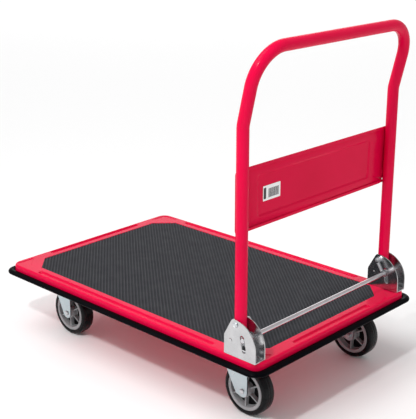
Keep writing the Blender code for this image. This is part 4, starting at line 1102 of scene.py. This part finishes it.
def leg_outline(front_top, top, boss, belly):
    """Side view of a fork leg about the axle, upright at the rear and slanted at the front."""
    touch = math.atan2(top, front_top) + math.acos((boss + belly) / math.hypot(front_top, top))
    points = [(boss, top), (front_top, top)]
    if belly:
        full = boss + belly
        points += [(full * math.cos(touch), full * math.sin(touch))]
    points += arc(0.0, 0.0, boss, math.degrees(touch) + (30 if belly else 0), 360, 28)
    return points


def make_fork(end, tag):
    """Castor fork: two legs and the plate that joins them, round at the swivel end."""
    node = f"fork_{end}_{tag}"
    low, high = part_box(node)
    tyre_low, tyre_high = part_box(f"tyre_{end}_{tag}")
    axle = (tyre_low + tyre_high) / 2
    outer = FORK_INNER_HALF + FORK_STEEL
    top = high.z - axle.z - 0.0005
    if end == "front":
        outline = leg_outline(-FIXED_LEG_TOP, top, FORK_BOSS, 0.0)
    else:
        outline = leg_outline(-SWIVEL_LEAD - SWIVEL_HEAD, top, FORK_BOSS, FORK_BELLY)
    legs = prism([(axle.x + a, axle.z + b) for a, b in outline], axle.y - outer, axle.y + outer, "XZ")
    fork = add_piece(node + "_pressing", legs, CASTOR_ZINC)
    ceiling = high.z - FORK_STEEL
    room = rounded_rect(2 * (outer - FORK_STEEL), 0.2, 0.0016, axle.y, ceiling - 0.1, 5)
    carve(fork, f"room_{end}_{tag}", prism(room, low.x - 0.02, high.x + 0.02, "YZ"))
    if end == "front":
        plan = rounded_rect(FIXED_PLATE_LENGTH, FIXED_PLATE_WIDTH, PLATE_CORNER,
                            axle.x - FIXED_PLATE_SETBACK, axle.y)
    else:
        pin_x = axle.x - SWIVEL_LEAD
        nose_x = axle.x + FORK_BOSS
        plan = arc(pin_x, axle.y, SWIVEL_HEAD, SWIVEL_NECK, 360 - SWIVEL_NECK, 36)
        plan += [(nose_x, axle.y - outer), (nose_x, axle.y + outer)]
    carve(fork, f"plate_{end}_{tag}", prism(plan, ceiling, high.z), "UNION")
    if end == "rear":
        bore = rod(KINGPIN_BORE, 0.02, "Z", centre=(pin_x, axle.y, high.z))
        carve(fork, "head_bore_" + tag, bore)
    carve(fork, f"bore_{end}_{tag}", rod(BOLT_RADIUS + GAP, 0.1, "Y", centre=axle))
    soften(fork, 0.0006, 2)
    place_on(fork, "cart" if end == "front" else "swivel_fork_" + tag, node)


def make_swivel(tag):
    """Castor plate, ball race and kingpin of a swivel castor."""
    low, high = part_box("castor_plate_rear_" + tag)
    middle = (low + high) / 2
    plan = rounded_rect(high.x - low.x, high.y - low.y, PLATE_CORNER, middle.x, middle.y)
    plate = add_piece("swivel_plate_" + tag, prism(plan, low.z, high.z), CASTOR_ZINC)
    carve(plate, "plate_bore_" + tag, rod(KINGPIN_BORE, 0.02, "Z", centre=middle))
    soften(plate, 0.0005, 2)
    place_on(plate, "cart", "castor_plate_rear_" + tag)

    race_low, race_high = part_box("swivel_race_rear_" + tag)
    outer = (race_high.x - race_low.x) / 2
    half = (race_high.z - race_low.z) / 2
    cup = [(RACE_BORE, half), (outer - 0.0022, half)]
    cup += arc(outer - RACE_ROUND, half - RACE_ROUND, RACE_ROUND, 80, 0, 5)
    cup += [(outer, half * 0.25), (outer - 0.0012, half * 0.10), (outer - 0.0012, -half * 0.10),
            (outer, -half * 0.25)]
    cup += arc(outer - RACE_ROUND, RACE_ROUND - half, RACE_ROUND, 0, -80, 5)
    cup += [(outer - 0.0022, -half), (RACE_BORE, -half)]
    race = add_piece("ball_race_" + tag, lathe(cup, "Z", 72), DARK_STEEL, (race_low + race_high) / 2)
    crease(race, 40)
    place_on(race, "cart", "swivel_race_rear_" + tag)
    hex_bolt("kingpin_bolt_" + tag, KINGPIN_HEX, KINGPIN_HEX_TALL, KINGPIN_SHANK, -1,
             node="kingpin_rear_" + tag)


for wheel_end, side_tag, side_sign in WHEELS:
    make_wheel(wheel_end, side_tag, side_sign)
    make_fork(wheel_end, side_tag)
for side_tag, side_sign in SIDES:
    make_swivel(side_tag)


def make_plate_bolts():
    """Hexagon heads under the castor plates, four to a castor."""
    for end, tag, _ in WHEELS:
        low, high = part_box(("castor_plate_" if end == "rear" else "fork_") + f"{end}_{tag}")
        middle_x = (low.x + high.x) / 2
        if end == "front":
            tyre_low, tyre_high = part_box(f"tyre_{end}_{tag}")
            middle_x = (tyre_low.x + tyre_high.x) / 2 - FIXED_PLATE_SETBACK
        middle_y = (low.y + high.y) / 2
        z = high.z - FORK_STEEL + PLATE_BOLT_LIFT
        for i, dx in enumerate((-PLATE_BOLT_X, PLATE_BOLT_X)):
            for j, dy in enumerate((-PLATE_BOLT_Y, PLATE_BOLT_Y)):
                hex_bolt(f"plate_bolt_{end}_{tag}_{i}{j}", PLATE_HEX, PLATE_HEX_TALL, PLATE_SHANK,
                         -1, place=(middle_x + dx, middle_y + dy, z))


make_plate_bolts()


# -------------------- floor, light and camera
def area_light(name, place, target, size, power):
    """Round lamp aimed at a point, itself out of the camera's sight."""
    data = bpy.data.lights.new(name, "AREA")
    data.energy = power
    data.size = size
    data.shape = "DISK"
    light = bpy.data.objects.new(name, data)
    light.location = place
    aim = Vector(target) - Vector(place)
    light.rotation_euler = aim.to_track_quat("-Z", "Y").to_euler()
    light.visible_camera = False
    scene.collection.objects.link(light)


def studio():
    """Pale floor, even surrounding light, a soft sun and two lamps."""
    bm = bmesh.new()
    bmesh.ops.create_grid(bm, x_segments=1, y_segments=1, size=40.0)
    mesh = bpy.data.meshes.new("floor")
    bm.to_mesh(mesh)
    bm.free()
    floor = bpy.data.objects.new("floor", mesh)
    floor.location = (0, 0, -0.0002)
    paper, shader = new_material("floor_paper", (0.90, 0.90, 0.90), 0.9)
    shader.inputs["Specular IOR Level"].default_value = 0.1
    mesh.materials.append(paper)
    scene.collection.objects.link(floor)
    floor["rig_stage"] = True
    world = bpy.data.worlds.new("studio")
    world.use_nodes = True
    world.node_tree.nodes["Background"].inputs["Color"].default_value = (1, 1, 1, 1)
    world.node_tree.nodes["Background"].inputs["Strength"].default_value = 0.62
    scene.world = world
    sun_data = bpy.data.lights.new("soft_overhead", "SUN")
    sun_data.energy = 1.35
    sun_data.angle = math.radians(45)
    sun = bpy.data.objects.new("soft_overhead", sun_data)
    sun.rotation_euler = Vector((0.45, 0.40, -1.0)).to_track_quat("-Z", "Y").to_euler()
    scene.collection.objects.link(sun)
    area_light("key_lamp", (0.6, -1.85, 2.3), (0.3, 0, 0.6), 0.20, 30)
    area_light("far_panel", (-7.8, 8.3, 4.0), (0, 0, 0.3), 8.0, 150)
    scene.view_settings.view_transform = "Standard"


def camera():
    """Camera at its place, its axes made square to each other."""
    data = bpy.data.cameras.new("camera")
    data.lens = CAMERA_LENS
    data.sensor_width = 36.0
    eye = bpy.data.objects.new("camera", data)
    back = Vector(CAMERA_BACK).normalized()
    up = back.cross(Vector(CAMERA_RIGHT)).normalized()
    right = up.cross(back)
    turn = Matrix((right, up, back)).transposed().to_4x4()
    eye.matrix_world = Matrix.Translation(CAMERA_PLACE) @ turn
    scene.collection.objects.link(eye)
    scene.camera = eye


studio()
camera()

for tool in list(tools.objects):
    bpy.data.objects.remove(tool, do_unlink=True)
